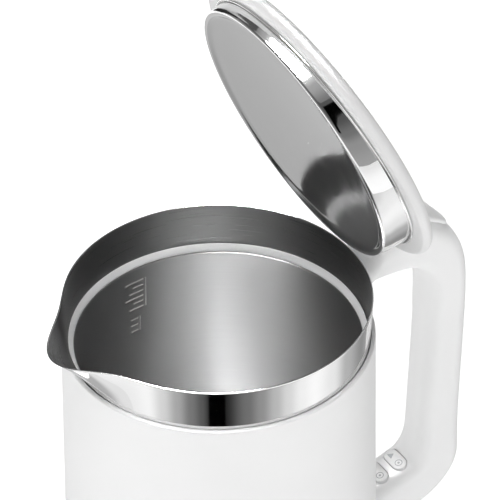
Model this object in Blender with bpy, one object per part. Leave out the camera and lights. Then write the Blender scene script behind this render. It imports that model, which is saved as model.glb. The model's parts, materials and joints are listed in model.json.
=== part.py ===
"""Electric kettle with a lid held open, standing on its round power base.

Metres, +Z up. The kettle's round axis is Z, the handle points to +X and the spout to -X.
The origin is the middle of the base's underside. The lid is built closed, or in its open
place where that is simpler, and hangs on an empty on its hinge line, turned to the open stop.
"""

import bmesh
import bpy
from math import cos, exp, pi, radians, sin, sqrt
from mathutils import Matrix, Vector

MM = 0.001
GAP = 0.3 * MM              # clearance between pieces that touch in use
LINER_GAP = 0.5 * MM        # looser clearance round plugs and covers
SEGMENTS = 40               # facets round the big turned pieces
SMALL_SEGMENTS = 12         # facets round screws, pins and bosses
STEP_DEGREES = 360 / SEGMENTS
MIDDLE_SEGMENTS = 30        # facets round the connector and its socket
ROOT_SEGMENTS = 5           # points in each rounded corner of a handle section

# Mouth and body
RIM_R = 64.0 * MM           # outer radius of the steel collar at its top edge
RIM_Z = 203.0 * MM          # height of that edge over the table
STEEL = 0.6 * MM            # sheet thickness of collar, pot and lid pan
COLLAR_DRAFT = 0.4 * MM     # how much narrower the collar is at its foot
COLLAR_SHOWN = 18.5 * MM    # collar height above the white body
COLLAR_TUCK = 4.4 * MM      # collar length hidden inside the body
SHOULDER = 1.7 * MM         # how far the body's top edge stands outside the rim
BODY_FLARE = 6.6 * MM       # how much wider the body is at its foot
WALL = 2.2 * MM             # plastic wall of the body
EDGE_ROUND = 0.9 * MM       # rounding of the body's two edges
SHELL_POST_R = 3.5 * MM     # screw posts inside the body and the base

# Spout
SPOUT_REACH = 12.8 * MM     # how far the lip stands out in front
SPOUT_WIDTH = radians(15.3)  # angle at which the lip has lost 63 % of its reach
SPOUT_DIP = 3.0 * MM        # how far the lip drops at its tip
SPOUT_POWER = 1.25          # how quickly the lip fades towards the collar's foot

# Pot and heater
POT_LEDGE = 3.5 * MM        # how far the pot's mouth is inside the rim
POT_AIR = 2.9 * MM          # air between pot and body at the pot's floor
POT_RISE = 30.8 * MM        # top of the pot's floor over the kettle's foot
POT_CORNER = 6.0 * MM
SEAL_IN = 0.7 * MM          # the seal's inner edge outside the pot's mouth
SEAL_EDGE = 0.7 * MM        # height of that edge
SEAL_FLAT = 0.5 * MM        # width of its top
SEAL_RISE = 3.1 * MM        # height of the seal's sloping face
PLATE_INSET = 3.4 * MM      # heating plate inside the flat of the pot's floor
PLATE_THICK = 3.0 * MM
ELEMENT_INSET = 16.0 * MM   # heating ring's centre line inside the plate's edge
ELEMENT_TUBE_R = 4.0 * MM
TERMINAL_R = 1.6 * MM
TERMINAL_DROP = 7.0 * MM
ELEMENT_SWEEP = radians(320)
CUTOUT_R = 8.0 * MM
SENSOR_R = 3.0 * MM
SENSOR_X = 20.0 * MM
SENSOR_HEAD = 5.0 * MM

# Bottom of the kettle
COVER_PLATE = 2.2 * MM      # thickness of the kettle's bottom cover and its collar
COVER_COLLAR = 6.0 * MM     # height of the collar round the connector
POST_HIGH = 15.0 * MM       # screw posts of the body over its foot
BOARD_EDGE = 12.1 * MM      # control board's outer edge inside the body's wall
BOARD_CLEAR = 5.8 * MM      # its inner edge outside the cover's collar
BOARD_HALF = 18.0 * MM
BOARD_RISE = 5.0 * MM       # height of the board's posts
BOARD_POST_R = 2.0 * MM
BOARD_POST_IN = 3.0 * MM    # post centres inside the board's corners
RELAY_HALF = 9.0 * MM
RELAY_HIGH = 9.0 * MM
RELAY_EDGE = 4.0 * MM       # relay inside the board's outer edge
RELAY_CLEAR = 8.0 * MM      # and inside its inner edge

# Power base
BASE_MARGIN = 0.2 * MM      # how far the base stands outside the kettle's foot
BASE_TOP_Z = 16.6 * MM
BASE_WALL = 2.0 * MM
BASE_EDGE = 3.4 * MM        # rounding of the base's top edge
BASE_PLATE_Z = 1.5 * MM     # underside of the base's bottom cover
HUB_R = 13.0 * MM           # flat hub in its middle that reaches the table
FOOT_R = 5.0 * MM
FOOT_INSET = 16.5 * MM      # centres of the feet inside the base's edge
FOOT_ROUND = 0.5 * MM
BASE_PLATE = 2.0 * MM       # thickness of the base's bottom cover
POST_INSET = 2.0 * MM       # screw posts clear of the base's wall
POST_CLEAR = 2.4 * MM       # and of its bottom cover
SOCKET_R = 18.6 * MM
SOCKET_RISE = 9.4 * MM      # top of the socket over the base
SOCKET_EDGE = 0.6 * MM
SEAT_WALL = 4.0 * MM        # ring that carries the socket
SOCKET_FOOT_Z = 6.0 * MM
PLUNGER_R = 5.6 * MM
PLUNGER_NOSE = 1.2 * MM
CONTACT_HIGH = 1.4 * MM
SLOT_IN_R = 12.5 * MM       # annular slot of the socket, inner and outer radius
SLOT_OUT_R = 15.5 * MM
SLOT_FLOOR_Z = 14.0 * MM
BOSS_WALL = 3.1 * MM
SKIRT_WALL = 2.0 * MM       # skirt of the kettle's connector
CORD_R = 2.3 * MM           # radius of the cord that the inlet takes
INLET_Z = 8.8 * MM
GLAND_WALL = 1.6 * MM
GLAND_EDGE = 0.8 * MM
GLAND_FLANGE = 2.0 * MM
GLAND_LONG = 7.0 * MM
BLOCK_X = 40.0 * MM         # inner end of the terminal block
BLOCK_LONG = 14.0 * MM
BLOCK_HALF = 7.0 * MM
BLOCK_HIGH = 8.0 * MM

# Screws
SCREW_R = 1.2 * MM
SCREW_HEAD_R = 2.6 * MM
SCREW_HEAD = 1.6 * MM
SCREW_LENGTH = 10.0 * MM

# Lid
LID_OPEN = radians(65)      # how far the lid is open at rest
HINGE_OUT = 11.3 * MM       # hinge line outside the rim
HINGE_DROP = 1.4 * MM       # hinge line under the rim
COVER_PROUD = 4.2 * MM      # how far the cover stands outside the rim
COVER_LIFT = 0.4 * MM       # cover flange over the rim
COVER_THICK = 5.4 * MM
COVER_CROWN = 1.0 * MM
COVER_SKIN = 2.0 * MM
BAND_IN = 4.0 * MM          # top of the steel band inside the rim
BAND_DRAFT = 1.1 * MM
BAND_BACK = 14.5 * MM       # band height at the hinge
BAND_FRONT = 6.3 * MM       # band height at the spout
PAN_DISH = 1.5 * MM
PAN_SHIFT = 1.6 * MM        # how far the pan's foot stands towards the spout
COVER_LIP = 0.9 * MM        # height of the cover's undercut edge
COVER_UNDERCUT = 1.6 * MM
FRAME_RISE = 0.5 * MM
FRAME_THICK = 1.4 * MM
FRAME_FLANGE = 6.0 * MM
FRAME_BORE_R = 20.0 * MM
LID_SCREW_RING = 34.0 * MM
TRIM_WIDTH = 1.0 * MM
TRIM_HIGH = 0.7 * MM
PIN_R = 1.25 * MM
PIN_CHEEK = 1.1 * MM        # plastic left at the blind end of the pin's bore
PIN_SHORT = 0.8 * MM
BARREL_R = 3.3 * MM
TONGUE_HALF = 6.8 * MM      # half width of the lid's tongue between the handle's cheeks
SPRING_HALF = 2.4 * MM      # half width of the spring's room in the tongue
SPRING_WIRE_R = 0.4 * MM
SPRING_TURNS = 3
LEVER_EDGE = 1.6 * MM       # rounding of the thumb lever

# Handle
HANDLE_HALF = 11.0 * MM     # half width across
HANDLE_ROUND = 8.5 * MM     # corner radius of its section
HANDLE_WALL = 2.4 * MM
BACK_HALF = 6.5 * MM        # half width of the strip that closes its back
BACK_THICK = 3.2 * MM
SLOT_DEEP = 4.0 * MM        # hinge slot below the hinge line
SLOT_HIGH = 14.0 * MM       # and above it
SLOT_BACK = 2.6 * MM        # hinge slot behind the barrel
SLOT_FRONT = 2.0 * MM       # and inside the rim
HANDLE_FOOT_RISE = 29.0 * MM  # middle height of the lower root over the kettle's foot
HANDLE_SCREWS = (20.0 * MM, 33.0 * MM)  # heights over the kettle's foot
STRIP_PROUD = 6.0 * MM      # how far the guides of the back strip stand outside

# Buttons
BUTTON_HALF_LONG = 7.0 * MM
BUTTON_HALF_WIDE = 3.7 * MM
BUTTON_PROUD = 0.25 * MM
BUTTON_DEEP = 3.4 * MM
BUTTON_TRAVEL = 1.0 * MM
BUTTON_FROM_ROOT = 15.4 * MM  # first button's centre along the slope from the body
BUTTON_PITCH = 11.1 * MM
BUTTON_SLOPE = radians(15.6)
BUTTON_RISE = 40.1 * MM     # where the slope meets the body, over the kettle's foot
BUTTON_ROUND = 0.4 * MM
BUTTON_SEAT = 4.8 * MM      # depth of the button's hole
SWITCH_HALF = 2.6 * MM
SWITCH_HIGH = 2.2 * MM
BOARD_THICK = 1.6 * MM
BUTTON_BOARD_BEFORE = 3.6 * MM  # board past the first button's centre
BUTTON_BOARD_AFTER = 4.0 * MM   # and past the last one's

# What follows from those
COLLAR_FOOT_Z = RIM_Z - COLLAR_SHOWN
KETTLE_FOOT_Z = BASE_TOP_Z + 2 * GAP             # underside of the kettle
BODY_TOP_R = RIM_R + SHOULDER
BODY_FOOT_R = BODY_TOP_R + BODY_FLARE
BASE_R = BODY_FOOT_R + BASE_MARGIN
FOOT_RING_R = BASE_R - FOOT_INSET
SOCKET_TOP_Z = BASE_TOP_Z + SOCKET_RISE
HINGE = Vector((RIM_R + HINGE_OUT, 0, RIM_Z - HINGE_DROP))
FLANGE_Z = COLLAR_FOOT_Z - COLLAR_TUCK - GAP     # top of the pot's flange
POT_FLOOR_Z = KETTLE_FOOT_Z + POT_RISE
PLATE_TOP_Z = POT_FLOOR_Z - STEEL - GAP
CONNECTOR_Z = SOCKET_TOP_Z + 5 * GAP             # ceiling of the kettle's connector
BOSS_OUT_R = SOCKET_R + GAP + BOSS_WALL
SKIRT_R = BOSS_OUT_R + 5 * GAP
CONNECTOR_R = SKIRT_R + SKIRT_WALL
COVER_HOLE_R = CONNECTOR_R + LINER_GAP           # hole of the kettle's bottom cover


def body_r(z):
    """Outer radius of the white body at a height."""
    share = (COLLAR_FOOT_Z - z) / (COLLAR_FOOT_Z - KETTLE_FOOT_Z)
    return BODY_TOP_R + BODY_FLARE * share


POT_TOP_R = RIM_R - POT_LEDGE                    # inner radius just under the seal
POT_FLOOR_R = body_r(POT_FLOOR_Z) - WALL - POT_AIR - STEEL
PLATE_R = POT_FLOOR_R - POT_CORNER - PLATE_INSET
ELEMENT_R = PLATE_R - ELEMENT_INSET              # radius of the heating ring


def clear_scene():
    for old in list(bpy.data.objects):
        bpy.data.objects.remove(old, do_unlink=True)


def material(name, colour, roughness, metallic=0.0):
    made = bpy.data.materials.new(name)
    made.use_nodes = True
    shader = made.node_tree.nodes["Principled BSDF"]
    shader.inputs["Base Color"].default_value = (*colour, 1)
    shader.inputs["Roughness"].default_value = roughness
    shader.inputs["Metallic"].default_value = metallic
    return made


def add(name, mesh, finish, smooth_angle=35):
    """A new object of this mesh, its faces pointing out, smooth where it is round."""
    work = bmesh.new()
    work.from_mesh(mesh)
    bmesh.ops.recalc_face_normals(work, faces=work.faces)
    work.to_mesh(mesh)
    work.free()
    mesh.shade_smooth()
    mesh.set_sharp_from_angle(angle=radians(smooth_angle))
    mesh.materials.append(finish)
    made = bpy.data.objects.new(name, mesh)
    bpy.context.collection.objects.link(made)
    return made


def turned(name, profile, finish, segments=SEGMENTS, at=(0, 0, 0)):
    """A solid turned about Z from a closed outline of (radius, height) points."""
    angles = turns(segments)
    mesh = bpy.data.meshes.new(name)
    work = bmesh.new()
    rings = []
    for radius, height in profile:
        if radius < 1e-7:
            rings.append([work.verts.new((at[0], at[1], at[2] + height))])
            continue
        rings.append([
            work.verts.new((at[0] + radius * cos(a), at[1] + radius * sin(a), at[2] + height))
            for a in angles
        ])
    for first, second in zip(rings, rings[1:] + rings[:1]):
        for step in range(len(angles)):
            after = (step + 1) % len(angles)
            corners = [first[step % len(first)], first[after % len(first)]]
            corners += [second[after % len(second)], second[step % len(second)]]
            corners = list(dict.fromkeys(corners))
            if len(corners) > 2:
                work.faces.new(corners)
    work.to_mesh(mesh)
    work.free()
    return add(name, mesh, finish)


def lofted(name, rings, finish, smooth_angle=50):
    """A solid through rings of equally many points, with a flat cap on each end."""
    mesh = bpy.data.meshes.new(name)
    work = bmesh.new()
    loops = [[work.verts.new(point) for point in ring] for ring in rings]
    count = len(loops[0])
    for first, second in zip(loops, loops[1:]):
        for step in range(count):
            after = (step + 1) % count
            work.faces.new((first[step], first[after], second[after], second[step]))
    work.faces.new(loops[0])
    work.faces.new(loops[-1])
    work.to_mesh(mesh)
    work.free()
    return add(name, mesh, finish, smooth_angle)


def plate_y(name, outline, half, finish, middle=0.0, smooth_angle=35):
    """A flat solid across Y from an outline of (x, z) points."""
    sides = [[Vector((x, middle + y, z)) for x, z in outline] for y in (-half, half)]
    return lofted(name, sides, finish, smooth_angle)


def rod(name, start, end, radius, finish, segments=SMALL_SEGMENTS):
    start = Vector(start)
    end = Vector(end)
    turn = (end - start).to_track_quat("Z", "Y")
    ring = [turn @ Vector((radius * cos(a), radius * sin(a), 0)) for a in turns(segments)]
    return lofted(name, [[start + p for p in ring], [end + p for p in ring]], finish)


def box(name, low, high, finish):
    corners = [(low[0], low[1]), (high[0], low[1]), (high[0], high[1]), (low[0], high[1])]
    rings = [[Vector((x, y, z)) for x, y in corners] for z in (low[2], high[2])]
    return lofted(name, rings, finish, smooth_angle=20)


def turns(count):
    return [2 * pi * step / count for step in range(count)]


def arc(centre, radius, start, end, steps):
    """Points of (radius, height) on an arc, angles in degrees from the +radius direction."""
    return [
        (
            centre[0] + radius * cos(radians(start + (end - start) * step / steps)),
            centre[1] + radius * sin(radians(start + (end - start) * step / steps)),
        )
        for step in range(steps + 1)
    ]


def shape_with(piece, operation, *tools, solver="EXACT"):
    """Cuts the tools out of the piece, or joins them to it. They stay as hidden guides."""
    for tool in tools:
        tool.hide_render = True
        tool.display_type = "WIRE"
        step = piece.modifiers.new(tool.name, "BOOLEAN")
        step.operation = operation
        step.solver = solver
        step.object = tool


def spout_reach(angle, z):
    """How far the spout pushes the collar out at an angle from -X and a height."""
    share = max(0.0, (z - COLLAR_FOOT_Z) / COLLAR_SHOWN)
    return SPOUT_REACH * exp(-((angle / SPOUT_WIDTH) ** 2)) * share ** SPOUT_POWER


# ---------------------------------------------------------------- power base

def make_base(white, dark, brass, rubber, steel):
    edge = BASE_TOP_Z - BASE_EDGE
    inner_r = BASE_R - BASE_WALL
    inner_z = BASE_TOP_Z - BASE_WALL
    boss_top = SOCKET_TOP_Z - 2 * GAP
    socket_bore = SOCKET_R + GAP
    shell = [(BASE_R, BASE_PLATE_Z)]
    shell += arc((BASE_R - BASE_EDGE, edge), BASE_EDGE, 0, 90, 3)
    shell += [(BOSS_OUT_R + BASE_WALL, BASE_TOP_Z), (BOSS_OUT_R, BASE_TOP_Z + BASE_WALL)]
    shell += [(BOSS_OUT_R, boss_top - 1 * MM), (BOSS_OUT_R - 1 * MM, boss_top)]
    shell += [(socket_bore, boss_top), (socket_bore, inner_z)]
    chamfer = BASE_EDGE - BASE_WALL
    shell += [(inner_r - chamfer, inner_z), (inner_r, inner_z - chamfer), (inner_r, BASE_PLATE_Z)]
    top = turned("base_top_shell", shell, white)
    ring = BASE_R - BASE_WALL - SHELL_POST_R - POST_INSET
    for number in range(3):
        x, y = around(ring, number / 3 + 1 / 6)
        post = rod(f"guide_base_post_{number}", (x, y, BASE_PLATE_Z + POST_CLEAR),
                   (x, y, inner_z + BASE_WALL / 2), SHELL_POST_R, white)
        shape_with(top, "UNION", post)
    for number in range(3):
        x, y = around(ring, number / 3 + 1 / 6)
        hole = rod(f"guide_base_hole_{number}", (x, y, 0),
                   (x, y, inner_z - 1 * MM), SCREW_R + GAP, white)
        shape_with(top, "DIFFERENCE", hole)
    inlet_r = CORD_R + GLAND_WALL
    opening = rod("guide_inlet", (inner_r - 8 * MM, 0, INLET_Z), (BASE_R + 8 * MM, 0, INLET_Z),
                  inlet_r + GAP, white)
    shape_with(top, "DIFFERENCE", opening)

    plate_top = BASE_PLATE_Z + BASE_PLATE
    plate_r = inner_r - LINER_GAP
    under = [(0, 0), (HUB_R, 0), (HUB_R + BASE_PLATE_Z, BASE_PLATE_Z), (plate_r, BASE_PLATE_Z)]
    under += [(plate_r, plate_top), (0, plate_top)]
    plate = turned("base_bottom_cover", under, white)
    for number in range(3):
        x, y = around(ring, number / 3 + 1 / 6)
        sink = BASE_PLATE_Z + SCREW_HEAD / 2
        shape_with(plate, "DIFFERENCE", sunk_hole(f"guide_plate_hole_{number}", x, y, sink, white))
        head_z = BASE_PLATE_Z + SCREW_HEAD / 2 - GAP
        screw(f"base_screw_{number + 1}", (x, y, head_z), (0, 0, 1), steel, SCREW_HEAD / 2)
    for number in range(4):
        x, y = around(FOOT_RING_R, number / 4 + 1 / 8)
        pad = [(0, 0), (FOOT_R - FOOT_ROUND, 0), (FOOT_R, FOOT_ROUND)]
        pad += [(FOOT_R, BASE_PLATE_Z - GAP), (0, BASE_PLATE_Z - GAP)]
        turned(f"base_foot_{number + 1}", pad, rubber, SMALL_SEGMENTS, at=(x, y, 0))

    socket = [(SOCKET_R, SOCKET_FOOT_Z), (SOCKET_R, SOCKET_TOP_Z - SOCKET_EDGE)]
    socket += [(SOCKET_R - SOCKET_EDGE, SOCKET_TOP_Z), (SLOT_OUT_R, SOCKET_TOP_Z)]
    socket += [(SLOT_OUT_R, SLOT_FLOOR_Z), (SLOT_IN_R, SLOT_FLOOR_Z), (SLOT_IN_R, SOCKET_TOP_Z)]
    socket += [(PLUNGER_R + GAP, SOCKET_TOP_Z), (PLUNGER_R + GAP, SOCKET_FOOT_Z)]
    turned("base_socket", socket, dark, MIDDLE_SEGMENTS)
    ring_z = SLOT_FLOOR_Z + GAP
    ring_in = SLOT_IN_R + GAP
    ring_out = SLOT_OUT_R - GAP
    contact = [(ring_in, ring_z), (ring_out, ring_z), (ring_out, ring_z + CONTACT_HIGH)]
    contact += [(ring_in, ring_z + CONTACT_HIGH)]
    turned("contact_ring", contact, brass, MIDDLE_SEGMENTS)
    seat = [(SOCKET_R, plate_top + GAP), (SOCKET_R, SOCKET_FOOT_Z - GAP)]
    seat += [(SOCKET_R - SEAT_WALL, SOCKET_FOOT_Z - GAP), (SOCKET_R - SEAT_WALL, plate_top + GAP)]
    turned("socket_seat", seat, dark, MIDDLE_SEGMENTS)

    plunger = [(0, SOCKET_FOOT_Z), (PLUNGER_R, SOCKET_FOOT_Z), (PLUNGER_R, SOCKET_TOP_Z - 1 * MM)]
    plunger += arc((PLUNGER_R - PLUNGER_NOSE, SOCKET_TOP_Z), PLUNGER_NOSE, 0, 90, 3)
    plunger += [(0, SOCKET_TOP_Z + PLUNGER_NOSE)]
    turned("socket_plunger", plunger, brass, MIDDLE_SEGMENTS)

    flange_r = inlet_r + GLAND_EDGE
    gland = [(CORD_R, 0), (flange_r, 0), (flange_r, GLAND_FLANGE), (inlet_r, GLAND_FLANGE)]
    gland += [(inlet_r, GLAND_LONG - 1 * MM), (inlet_r - GLAND_EDGE, GLAND_LONG)]
    gland += [(CORD_R, GLAND_LONG)]
    sleeve = turned("cord_inlet", gland, rubber, SMALL_SEGMENTS)
    sleeve.rotation_euler = (0, pi / 2, 0)
    sleeve.location = (inner_r - GLAND_FLANGE - 3 * GAP, 0, INLET_Z)
    block_end = BLOCK_X + BLOCK_LONG
    block = box("base_terminal_block", (BLOCK_X, -BLOCK_HALF, plate_top + GAP),
                (block_end, BLOCK_HALF, plate_top + BLOCK_HIGH), dark)
    bore = rod("guide_block_bore", (BLOCK_X - BLOCK_LONG, 0, INLET_Z),
               (block_end + BLOCK_LONG, 0, INLET_Z), CORD_R, dark)
    shape_with(block, "DIFFERENCE", bore)


def around(radius, share):
    return radius * cos(2 * pi * share), radius * sin(2 * pi * share)


def sunk_hole(name, x, y, sink_z, finish):
    """A cutter for an upright screw that is sunk into the underside up to sink_z."""
    low = -3 * MM
    head_r = SCREW_HEAD_R + GAP
    hole_r = SCREW_R + GAP
    profile = [(0, low), (head_r, low), (head_r, 0), (hole_r, 0), (hole_r, SCREW_LENGTH)]
    profile += [(0, SCREW_LENGTH)]
    return turned(name, profile, finish, SMALL_SEGMENTS, at=(x, y, sink_z))


def screw(name, head_at, direction, finish, head=SCREW_HEAD, length=SCREW_LENGTH):
    """A screw whose head's inner face is at head_at, its shank along direction."""
    profile = [(0, -head), (SCREW_HEAD_R * 0.8, -head), (SCREW_HEAD_R, -head * 0.6)]
    profile += [(SCREW_HEAD_R, 0), (SCREW_R, 0), (SCREW_R, length - SCREW_R), (0, length)]
    made = turned(name, profile, finish, SMALL_SEGMENTS)
    made.rotation_mode = "QUATERNION"
    made.rotation_quaternion = Vector(direction).to_track_quat("Z", "Y")
    made.location = head_at
    return made


# ---------------------------------------------------------------- body

def collar_angles():
    """Angles round the collar, closer together at the spout, which is at 180 degrees."""
    found = []
    degree = 0.0
    while degree < 359.9:
        found.append(radians(degree))
        degree += STEP_DEGREES / 2 if 135 <= degree < 225 else STEP_DEGREES
    return found


def make_collar(steel):
    """A drawn steel ring: its section runs down the outside and up the inside."""
    levels = [0.0, 0.15, 0.4, 0.7, 1.0]
    foot = COLLAR_FOOT_Z - COLLAR_TUCK
    angles = collar_angles()
    section = [(0.5, 0.0)] + [(1.0, share) for share in levels] + [(1.0, None)]
    section += [(0.0, None)] + [(0.0, share) for share in reversed(levels)]
    mesh = bpy.data.meshes.new("steel_collar")
    work = bmesh.new()
    rings = []
    for side, share in section:
        ring = []
        for angle in angles:
            off = angle - pi
            dip = SPOUT_DIP * exp(-((off / SPOUT_WIDTH) ** 2))
            drop = COLLAR_SHOWN if share is None else share * COLLAR_SHOWN
            high = RIM_Z - drop
            radius = RIM_R - COLLAR_DRAFT * drop / COLLAR_SHOWN + spout_reach(off, high)
            radius -= STEEL * (1 - side)
            z = high - dip * (1 - drop / COLLAR_SHOWN)
            z = foot if share is None else z
            if (side, share) == (0.5, 0.0):
                z += STEEL / 4
            elif share == 0.0:
                z -= STEEL / 4
            ring.append(work.verts.new((radius * cos(angle), radius * sin(angle), z)))
        rings.append(ring)
    for first, second in zip(rings, rings[1:] + rings[:1]):
        for step in range(len(angles)):
            after = (step + 1) % len(angles)
            work.faces.new((first[step], first[after], second[after], second[step]))
    work.to_mesh(mesh)
    work.free()
    return add("steel_collar", mesh, steel)


def make_outer_shell(white, steel):
    top = COLLAR_FOOT_Z
    mouth = RIM_R - COLLAR_DRAFT + GAP
    ledge = FLANGE_Z - STEEL - GAP
    foot = KETTLE_FOOT_Z
    outer = arc((body_r(top) - EDGE_ROUND, top - EDGE_ROUND), EDGE_ROUND, 90, 0, 3)
    outer += arc((body_r(foot) - EDGE_ROUND, foot + EDGE_ROUND), EDGE_ROUND, 0, -90, 3)
    inside = [(body_r(foot) - WALL, foot), (body_r(ledge - 3 * MM) - WALL, ledge - 3 * MM)]
    inside += [(mouth - 1.5 * MM, ledge - 1.5 * MM), (mouth - 1.5 * MM, ledge), (mouth, ledge)]
    inside += [(mouth, top)]
    shell = turned("outer_shell", outer + inside, white)
    ring = body_r(foot) - WALL - SHELL_POST_R + 2 * GAP
    for number in range(3):
        x, y = around(ring, number / 3 + 1 / 6)
        post = rod(f"guide_post_{number}", (x, y, foot + 3 * MM), (x, y, foot + POST_HIGH),
                   SHELL_POST_R, white)
        shape_with(shell, "UNION", post)
    for number in range(3):
        x, y = around(ring, number / 3 + 1 / 6)
        hole = rod(f"guide_post_hole_{number}", (x, y, foot - 1 * MM),
                   (x, y, foot + POST_HIGH - 1 * MM), SCREW_R + GAP, white)
        shape_with(shell, "DIFFERENCE", hole)
    for number, z in enumerate(handle_screw_heights()):
        hole = rod(f"guide_handle_hole_{number}", (body_r(z) - 3 * WALL, 0, z),
                   (body_r(z) + WALL, 0, z), SCREW_R + GAP, white)
        shape_with(shell, "DIFFERENCE", hole)
        inside_x = body_r(z) - WALL - GAP
        screw(f"handle_screw_{number + 1}", (inside_x, 0, z), (1, 0, 0), steel,
              length=SCREW_LENGTH)
    return ring


def make_bottom_cover(ring, grey, steel):
    foot = KETTLE_FOOT_Z
    under = foot + GAP
    top = under + COVER_PLATE
    rim_r = body_r(foot) - WALL - LINER_GAP
    collar_r = COVER_HOLE_R + COVER_PLATE
    profile = [(COVER_HOLE_R, under), (rim_r, under), (rim_r, top), (collar_r, top)]
    profile += [(collar_r, top + COVER_COLLAR), (COVER_HOLE_R, top + COVER_COLLAR)]
    cover = turned("kettle_bottom_cover", profile, grey)
    for number in range(3):
        x, y = around(ring, number / 3 + 1 / 6)
        sink = under + SCREW_HEAD / 2 + GAP
        shape_with(cover, "DIFFERENCE", sunk_hole(f"guide_cover_hole_{number}", x, y, sink, grey))
        screw(f"kettle_screw_{number + 1}", (x, y, under + SCREW_HEAD / 2), (0, 0, 1), steel,
              SCREW_HEAD / 2)
    board_x = (BOARD_EDGE + WALL - body_r(foot), -collar_r - BOARD_CLEAR)
    board_z = top + BOARD_RISE
    for number in range(4):
        x = (board_x[0] + BOARD_POST_IN, board_x[1] - BOARD_POST_IN)[number % 2]
        y = (BOARD_HALF - BOARD_POST_IN) * (-1, 1)[number // 2]
        post = rod(f"guide_board_post_{number}", (x, y, top - 1 * MM), (x, y, board_z - GAP),
                   BOARD_POST_R, grey)
        shape_with(cover, "UNION", post)
    return board_x, board_z


def make_control_board(place, green, dark):
    board_x, board_z = place
    top = board_z + BOARD_THICK
    box("control_board", (board_x[0], -BOARD_HALF, board_z), (board_x[1], BOARD_HALF, top), green)
    box("power_relay", (board_x[0] + RELAY_EDGE, -RELAY_HALF, top + GAP),
        (board_x[1] - RELAY_CLEAR, RELAY_HALF, top + RELAY_HIGH), dark)


def make_pot(steel, seal_white):
    lip = FLANGE_Z - STEEL
    rim_out = RIM_R - COLLAR_DRAFT
    floor = POT_FLOOR_Z
    under = floor - STEEL
    corner = POT_CORNER
    in_r = POT_TOP_R
    wall_z = floor + corner
    profile = [(rim_out - GAP, FLANGE_Z), (in_r + 0.6 * MM, FLANGE_Z)]
    profile += [(in_r, FLANGE_Z - 0.8 * MM)]
    profile += arc((POT_FLOOR_R - corner, wall_z), corner, 0, -90, 4)
    profile += [(0, floor), (0, under)]
    profile += arc((POT_FLOOR_R - corner, wall_z), corner + STEEL, -90, 0, 4)
    profile += [(in_r + STEEL, lip - 0.8 * MM), (in_r + STEEL + 0.6 * MM, lip)]
    profile += [(rim_out - GAP, lip)]
    turned("inner_pot", profile, steel)
    bore = rim_out - STEEL - GAP
    base = FLANGE_Z + GAP
    slope_in = POT_TOP_R + SEAL_IN
    seal = [(slope_in, base), (bore, base), (bore, base + SEAL_RISE)]
    seal += [(bore - SEAL_FLAT, base + SEAL_RISE), (slope_in, base + SEAL_EDGE)]
    turned("collar_seal", seal, seal_white)


def make_heater(aluminium, dark, brass, steel):
    bottom = PLATE_TOP_Z - PLATE_THICK
    plate = turned("heating_plate", [(0, bottom), (PLATE_R, bottom), (PLATE_R, PLATE_TOP_Z),
                                     (0, PLATE_TOP_Z)], aluminium)
    well = rod("guide_sensor_well", (SENSOR_X, 0, bottom - 1 * MM),
               (SENSOR_X, 0, PLATE_TOP_Z + 1 * MM), SENSOR_R + GAP, steel)
    shape_with(plate, "DIFFERENCE", well)
    centre_z = bottom - GAP - ELEMENT_TUBE_R
    rings = []
    steps = 30
    for step in range(steps + 1):
        turn = ELEMENT_SWEEP * (step / steps - 0.5)
        outward = Vector((cos(turn), sin(turn), 0))
        middle = outward * ELEMENT_R + Vector((0, 0, centre_z))
        rings.append([
            middle + outward * ELEMENT_TUBE_R * cos(a) + Vector((0, 0, ELEMENT_TUBE_R * sin(a)))
            for a in turns(6)
        ])
    lofted("heating_element", rings, steel, smooth_angle=60)
    for number, side in enumerate((-1, 1)):
        turn = side * (ELEMENT_SWEEP / 2 + 1.2 * ELEMENT_TUBE_R / ELEMENT_R)
        x = ELEMENT_R * cos(turn)
        y = ELEMENT_R * sin(turn)
        rod(f"element_terminal_{number + 1}", (x, y, centre_z - TERMINAL_DROP),
            (x, y, centre_z + ELEMENT_TUBE_R), TERMINAL_R, brass)
    sensor = [(0, bottom - SENSOR_HEAD), (SENSOR_R + 2 * MM, bottom - SENSOR_HEAD)]
    sensor += [(SENSOR_R + 2 * MM, bottom - GAP), (SENSOR_R, bottom - GAP)]
    sensor += [(SENSOR_R, PLATE_TOP_Z), (0, PLATE_TOP_Z)]
    turned("temperature_sensor", sensor, brass, SMALL_SEGMENTS, at=(SENSOR_X, 0, 0))
    ceiling = CONNECTOR_Z + 3 * MM
    switch = [(0, ceiling + GAP), (CUTOUT_R, ceiling + GAP), (CUTOUT_R, bottom - 2 * MM)]
    switch += [(CUTOUT_R - 3 * MM, bottom - GAP), (0, bottom - GAP)]
    turned("thermal_cutout", switch, dark, MIDDLE_SEGMENTS)
    blade_in = SLOT_IN_R + 2 * GAP
    blade_out = SLOT_OUT_R - 2 * GAP
    blade_z = SLOT_FLOOR_Z + CONTACT_HIGH + 2 * GAP
    plug = [(0, CONNECTOR_Z), (blade_in, CONNECTOR_Z), (blade_in, blade_z), (blade_out, blade_z)]
    plug += [(blade_out, CONNECTOR_Z), (SKIRT_R, CONNECTOR_Z), (SKIRT_R, KETTLE_FOOT_Z + 2 * MM)]
    plug += [(CONNECTOR_R, KETTLE_FOOT_Z + 2 * MM), (CONNECTOR_R, ceiling), (0, ceiling)]
    turned("kettle_connector", plug, dark, MIDDLE_SEGMENTS)


# ---------------------------------------------------------------- handle

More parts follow.
